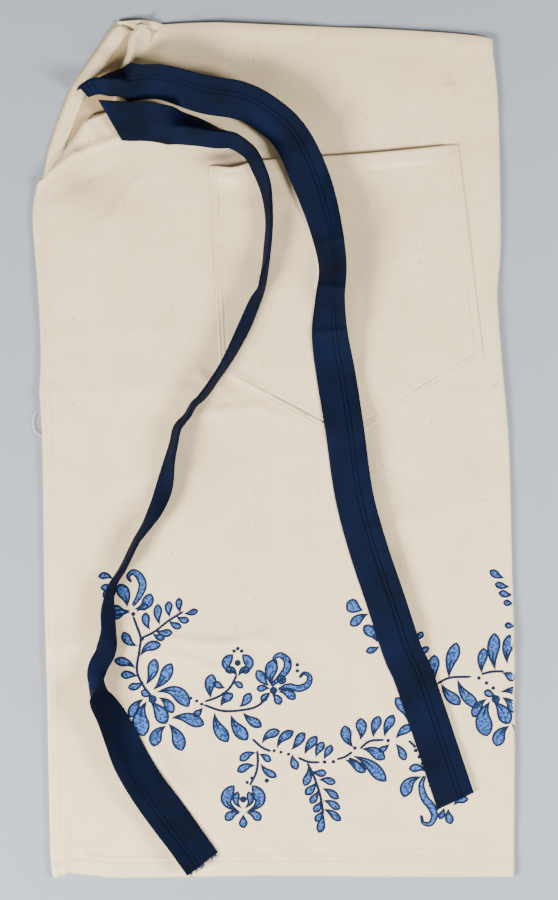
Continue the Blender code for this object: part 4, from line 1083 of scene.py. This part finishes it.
class Ink:
    """Patches of ink gathered for one mesh."""

    def __init__(self):
        self.points = []
        self.faces = []

    def strip(self, rows, rise):
        """A strip of quads over rows of points across it."""
        start = len(self.points)
        wide = len(rows[0])
        for row in rows:
            self.points += [on_cloth(x, y, rise) * MM for x, y in row]
        for i in range(len(rows) - 1):
            for k in range(wide - 1):
                a = start + i * wide + k
                self.faces.append((a, a + 1, a + wide + 1, a + wide))

    def made(self, name, material):
        """The gathered patches as one mesh, with their faces turned away from the cloth."""
        piece = mesh_object(name, self.points, self.faces, [material])
        fixed = bmesh.new()
        fixed.from_mesh(piece.data)
        bmesh.ops.remove_doubles(fixed, verts=fixed.verts, dist=1e-6)
        up = [f for f in fixed.faces if f.normal.z < 0 and f.calc_center_median().z > 0.0012]
        bmesh.ops.reverse_faces(fixed, faces=up)
        down = [f for f in fixed.faces if f.normal.z > 0 and f.calc_center_median().z < 0.0004]
        bmesh.ops.reverse_faces(fixed, faces=down)
        fixed.to_mesh(piece.data)
        fixed.free()
        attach(piece, "apron")


fill_ink, line_ink = Ink(), Ink()


def directions_across(line, closed=False):
    """Unit directions square to a line, at each of its points."""
    along = np.roll(line, -1, 0) - np.roll(line, 1, 0) if closed else np.gradient(line, axis=0)
    along /= np.maximum(np.hypot(*along.T), 1e-9)[:, None]
    return np.stack([-along[:, 1], along[:, 0]], 1)


def smooth_line(corners, steps):
    """A smooth curve through corner points."""
    corners = np.array(corners, float).reshape(-1, 2)
    run = np.arange(len(corners), dtype=float)
    fine = np.linspace(0, len(corners) - 1, (len(corners) - 1) * steps + 1)
    return np.stack([smooth_table(np.stack([run, corners[:, k]], 1))(fine) for k in (0, 1)], 1)


def ribbon(ink, line, width, rise, closed=False):
    """A band of even width along a line, thinner at open ends."""
    line = np.asarray(line, float)
    across = directions_across(line, closed)
    half = np.full(len(line), width / 2)
    if not closed:
        half *= np.clip(np.minimum(np.arange(len(line)), np.arange(len(line))[::-1]) / 2 + 0.45, 0, 1)
    rows = [((p - a * h), (p + a * h)) for p, a, h in zip(line, across, half)]
    if closed:
        rows.append(rows[0])
    ink.strip(rows, rise)


def leaf(x0, y0, x1, y1, width, bend, shift=0.0):
    """A club-shaped leaf or petal: pale fill, dark outline and a dark vein from its base."""
    base, tip = np.array((x0 + shift, y0)), np.array((x1 + shift, y1))
    run = tip - base
    length = math.hypot(*run)
    side = np.array((-run[1], run[0])) * bend
    count = max(8, int(length / 1.6))
    s = 1 - (1 - np.linspace(0, 1, count + 1)) ** 1.15
    hook = np.sign(bend or 1) * 0.16 * np.maximum(s - 0.62, 0) ** 2 / 0.144
    curl = np.array((-run[1], run[0])) * -hook[:, None]
    middle = base + run * s[:, None] + side * (4 * s * (1 - s))[:, None] - curl * 0.6
    across = directions_across(middle)
    half = width * 0.56 * np.maximum(np.sin(np.pi * s ** 1.7), 0.0) ** 0.62
    rows = [[m + a * h * k for k in (-0.86, -0.43, 0, 0.43, 0.86)] for m, a, h in zip(middle, across, half)]
    fill_ink.strip(rows, FILL_RISE)
    inner = np.maximum(half - INK_LINE * 0.3, 0.0)
    outline = np.concatenate([middle + across * inner[:, None], (middle - across * inner[:, None])[-2:0:-1]])
    ribbon(line_ink, outline, INK_LINE, LINE_RISE, True)
    if length > 13:
        vein = middle[1:int(count * 0.55)]
        if len(vein) > 3:
            ribbon(line_ink, vein, INK_LINE * 0.8, LINE_RISE)


for *corners, width in SCROLLS:
    curve = smooth_line(corners, 6)
    across = directions_across(curve)
    share = np.linspace(0, 1, len(curve))
    taper = np.maximum(np.sin(np.pi * (0.04 + 0.92 * share)), 0) ** 0.5
    half = width / 2 * taper * (0.75 + 0.3 * np.sin(share * 5))
    fill_ink.strip([[p + a * h * k for k in (-0.9, -0.4, 0.4, 0.9)] for p, a,
                    h in zip(curve, across, half)], FILL_RISE)
    rim = np.concatenate([curve + across * half[:, None], (curve - across * half[:, None])[::-1]])
    ribbon(line_ink, rim, INK_LINE * 0.9, LINE_RISE, True)
for shape in LEAVES + BLOSSOM + BELL:
    leaf(*shape)
for shape in BLOSSOM:
    leaf(*shape, BORDER_REPEAT)
for x, y, radius in DOTS:
    turn = np.linspace(0, 2 * math.pi, 17 if radius > 2 else 11)[:-1]
    circle = np.stack([np.cos(turn), np.sin(turn)], 1)
    centre = np.array((x, y))
    ink = fill_ink if radius > 2 else line_ink
    rise = FILL_RISE if radius > 2 else LINE_RISE
    closed_turn = np.concatenate([circle, circle[:1]])
    ink.strip([[centre + p * radius * k for k in (0.02, 0.5, 1.0)] for p in closed_turn], rise)
    if radius > 2:
        ribbon(line_ink, centre + circle * (radius - 0.3), INK_LINE, LINE_RISE, True)
        ribbon(line_ink, centre + circle * radius * 0.35, INK_LINE * 0.8, LINE_RISE, True)
for corners in STEMS:
    ribbon(line_ink, smooth_line(corners, 7), STEM_WIDTH, LINE_RISE)


def fabric_ink(name, light, dark, spread):
    """Block-printed pigment ink: dry and matt, patchy where the threads stand up through it.

    The grain follows the weave, about 0.4 mm, drawn at 1.2 mm so that it shows.
    """
    made, tree, shader = new_material(name)
    point = object_coordinates(tree)
    grain = add(tree, "ShaderNodeTexNoise", Vector=point, Scale=1 / 1.7, Detail=2.0)
    patch = add(tree, "ShaderNodeMapRange", i0=grain.outputs[0], i1=0.5 - spread, i2=0.5 + spread, i3=0.0,
                i4=1.0)
    colour = add(tree, "ShaderNodeMix", {"data_type": "RGBA"}, i0=patch.outputs[0], i6=linear(dark),
                 i7=linear(light))
    tree.links.new(colour.outputs[2], shader.inputs["Base Color"])
    bump = add(tree, "ShaderNodeBump", Height=grain.outputs[0], Strength=0.3, Distance=0.1 * MM)
    tree.links.new(bump.outputs[0], shader.inputs["Normal"])
    shader.inputs["Roughness"].default_value = 0.9
    shader.inputs["Specular IOR Level"].default_value = 0.2
    return made


fill_ink.made("printed_border_fill", fabric_ink("pale_blue_fabric_ink", "#40639A", "#16305F", 0.07))
line_ink.made("printed_border_outline", fabric_ink("dark_blue_fabric_ink", "#0B1C3E", "#071229", 0.2))

# ---- Loose thread ----------------------------------------------------------------------------
# A cut end of the cream sewing thread hangs out of the side hem in a small loop.
LOOSE_THREAD = 0.5
loop = smooth_table(((0, -182.6), (6, -187.0), (12, -191.2), (19, -192.2), (26, -190.6), (33, -186.6),
                     (37, -184.0)))
loop_y = smooth_table(((0, 8.0), (6, 11.4), (12, 15.5), (19, 22.3), (26, 28.8), (33, 32.0), (37, 34.5)))
loop_run = np.linspace(0, 37, 60)
loop_line = np.stack([loop(loop_run), loop_y(loop_run), 1.75 + 0.3 * np.sin(loop_run * 0.3)], 1)


def tube(name, lines, radius, sides, material):
    """Round strands along lines of points, tapering to closed tips."""
    vertices, faces = [], []
    for line in lines:
        line = np.asarray(line, float)
        along = np.gradient(line, axis=0)
        along /= np.linalg.norm(along, axis=1)[:, None]
        level = np.cross(along, (0.03, 0.05, 1.0))
        level /= np.linalg.norm(level, axis=1)[:, None]
        up = np.cross(level, along)
        start = len(vertices)
        for i, point in enumerate(line):
            size = radius * (0.35 if i in (0, len(line) - 1) else 1.0)
            for k in range(sides):
                a = 2 * math.pi * k / sides
                vertices.append((point + (level[i] * math.cos(a) + up[i] * math.sin(a)) * size) * MM)
        for i in range(len(line) - 1):
            for k in range(sides):
                a, b = start + i * sides + k, start + i * sides + (k + 1) % sides
                faces.append((a, b, b + sides, a + sides))
        faces.append([start + k for k in range(sides)][::-1])
        faces.append([start + (len(line) - 1) * sides + k for k in range(sides)])
    return mesh_object(name, [tuple(v) for v in vertices], faces, [material], outward=True)


loose = tube("loose_sewing_thread", [loop_line], LOOSE_THREAD / 2, 8, cream_thread)
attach(loose, "apron")
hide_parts("loose_thread")

# ---- Raw and frayed ends ---------------------------------------------------------------------
# The ties' lower ends are cut raw and have let go short navy threads, and so has the worn lower corner
# of the hem, where the turned layers show cream ends.
FRAY_ARCH = np.array((0, 0.1, 0.15, 0.05, -0.15))      # height of a short thread along its length
random = np.random.default_rng(7)


def frayed(name, roots, way, count, reach, radius, material):
    """Short loose threads along an edge line, bent at random."""
    lines = []
    for _ in range(count):
        share = random.random() * (len(roots) - 1)
        k = min(int(share), len(roots) - 2)
        start = roots[k] + (roots[k + 1] - roots[k]) * (share - k)
        length = reach * (0.35 + 0.65 * random.random() ** 1.5)
        turn = random.normal(0, 0.55)
        heading = np.array((way[0] * math.cos(turn) - way[1] * math.sin(turn),
                            way[0] * math.sin(turn) + way[1] * math.cos(turn), 0.0))
        bend = np.array((-heading[1], heading[0], 0)) * random.normal(0, 0.3)
        s = np.linspace(0, 1, 5)[:, None]
        line = start + heading * (s * length - 0.8) + bend * length * s ** 2
        line[:, 2] = start[2] + (random.random() - 0.5) * 0.4 + FRAY_ARCH * random.random()
        lines.append(line)
    return tube(name, lines, radius, 4, material)


for label, count, reach in (("upper", 34, 2.2), ("lower", 90, 4.4)):
    last, before = ties[label][-1], ties[label][-2]
    way = (last - before).mean(axis=0)[:2]
    way = way / np.hypot(*way)
    roots = last[[0, 4, 8, 12, 18, 24]]
    ends = frayed(f"tie_raw_end_{label}", roots, way, count, reach, 0.22, navy_thread)
    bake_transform(ends)
corner = np.array(((-176.0, -341.0, 2.4), (-171, -340.0, 2.6), (-165, -338.0, 2.8)))
corner_ends = frayed("hem_corner_ends", corner, np.array((-0.35, -0.94)), 34, 3.2, 0.25, cream_thread)
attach(corner_ends, "apron")
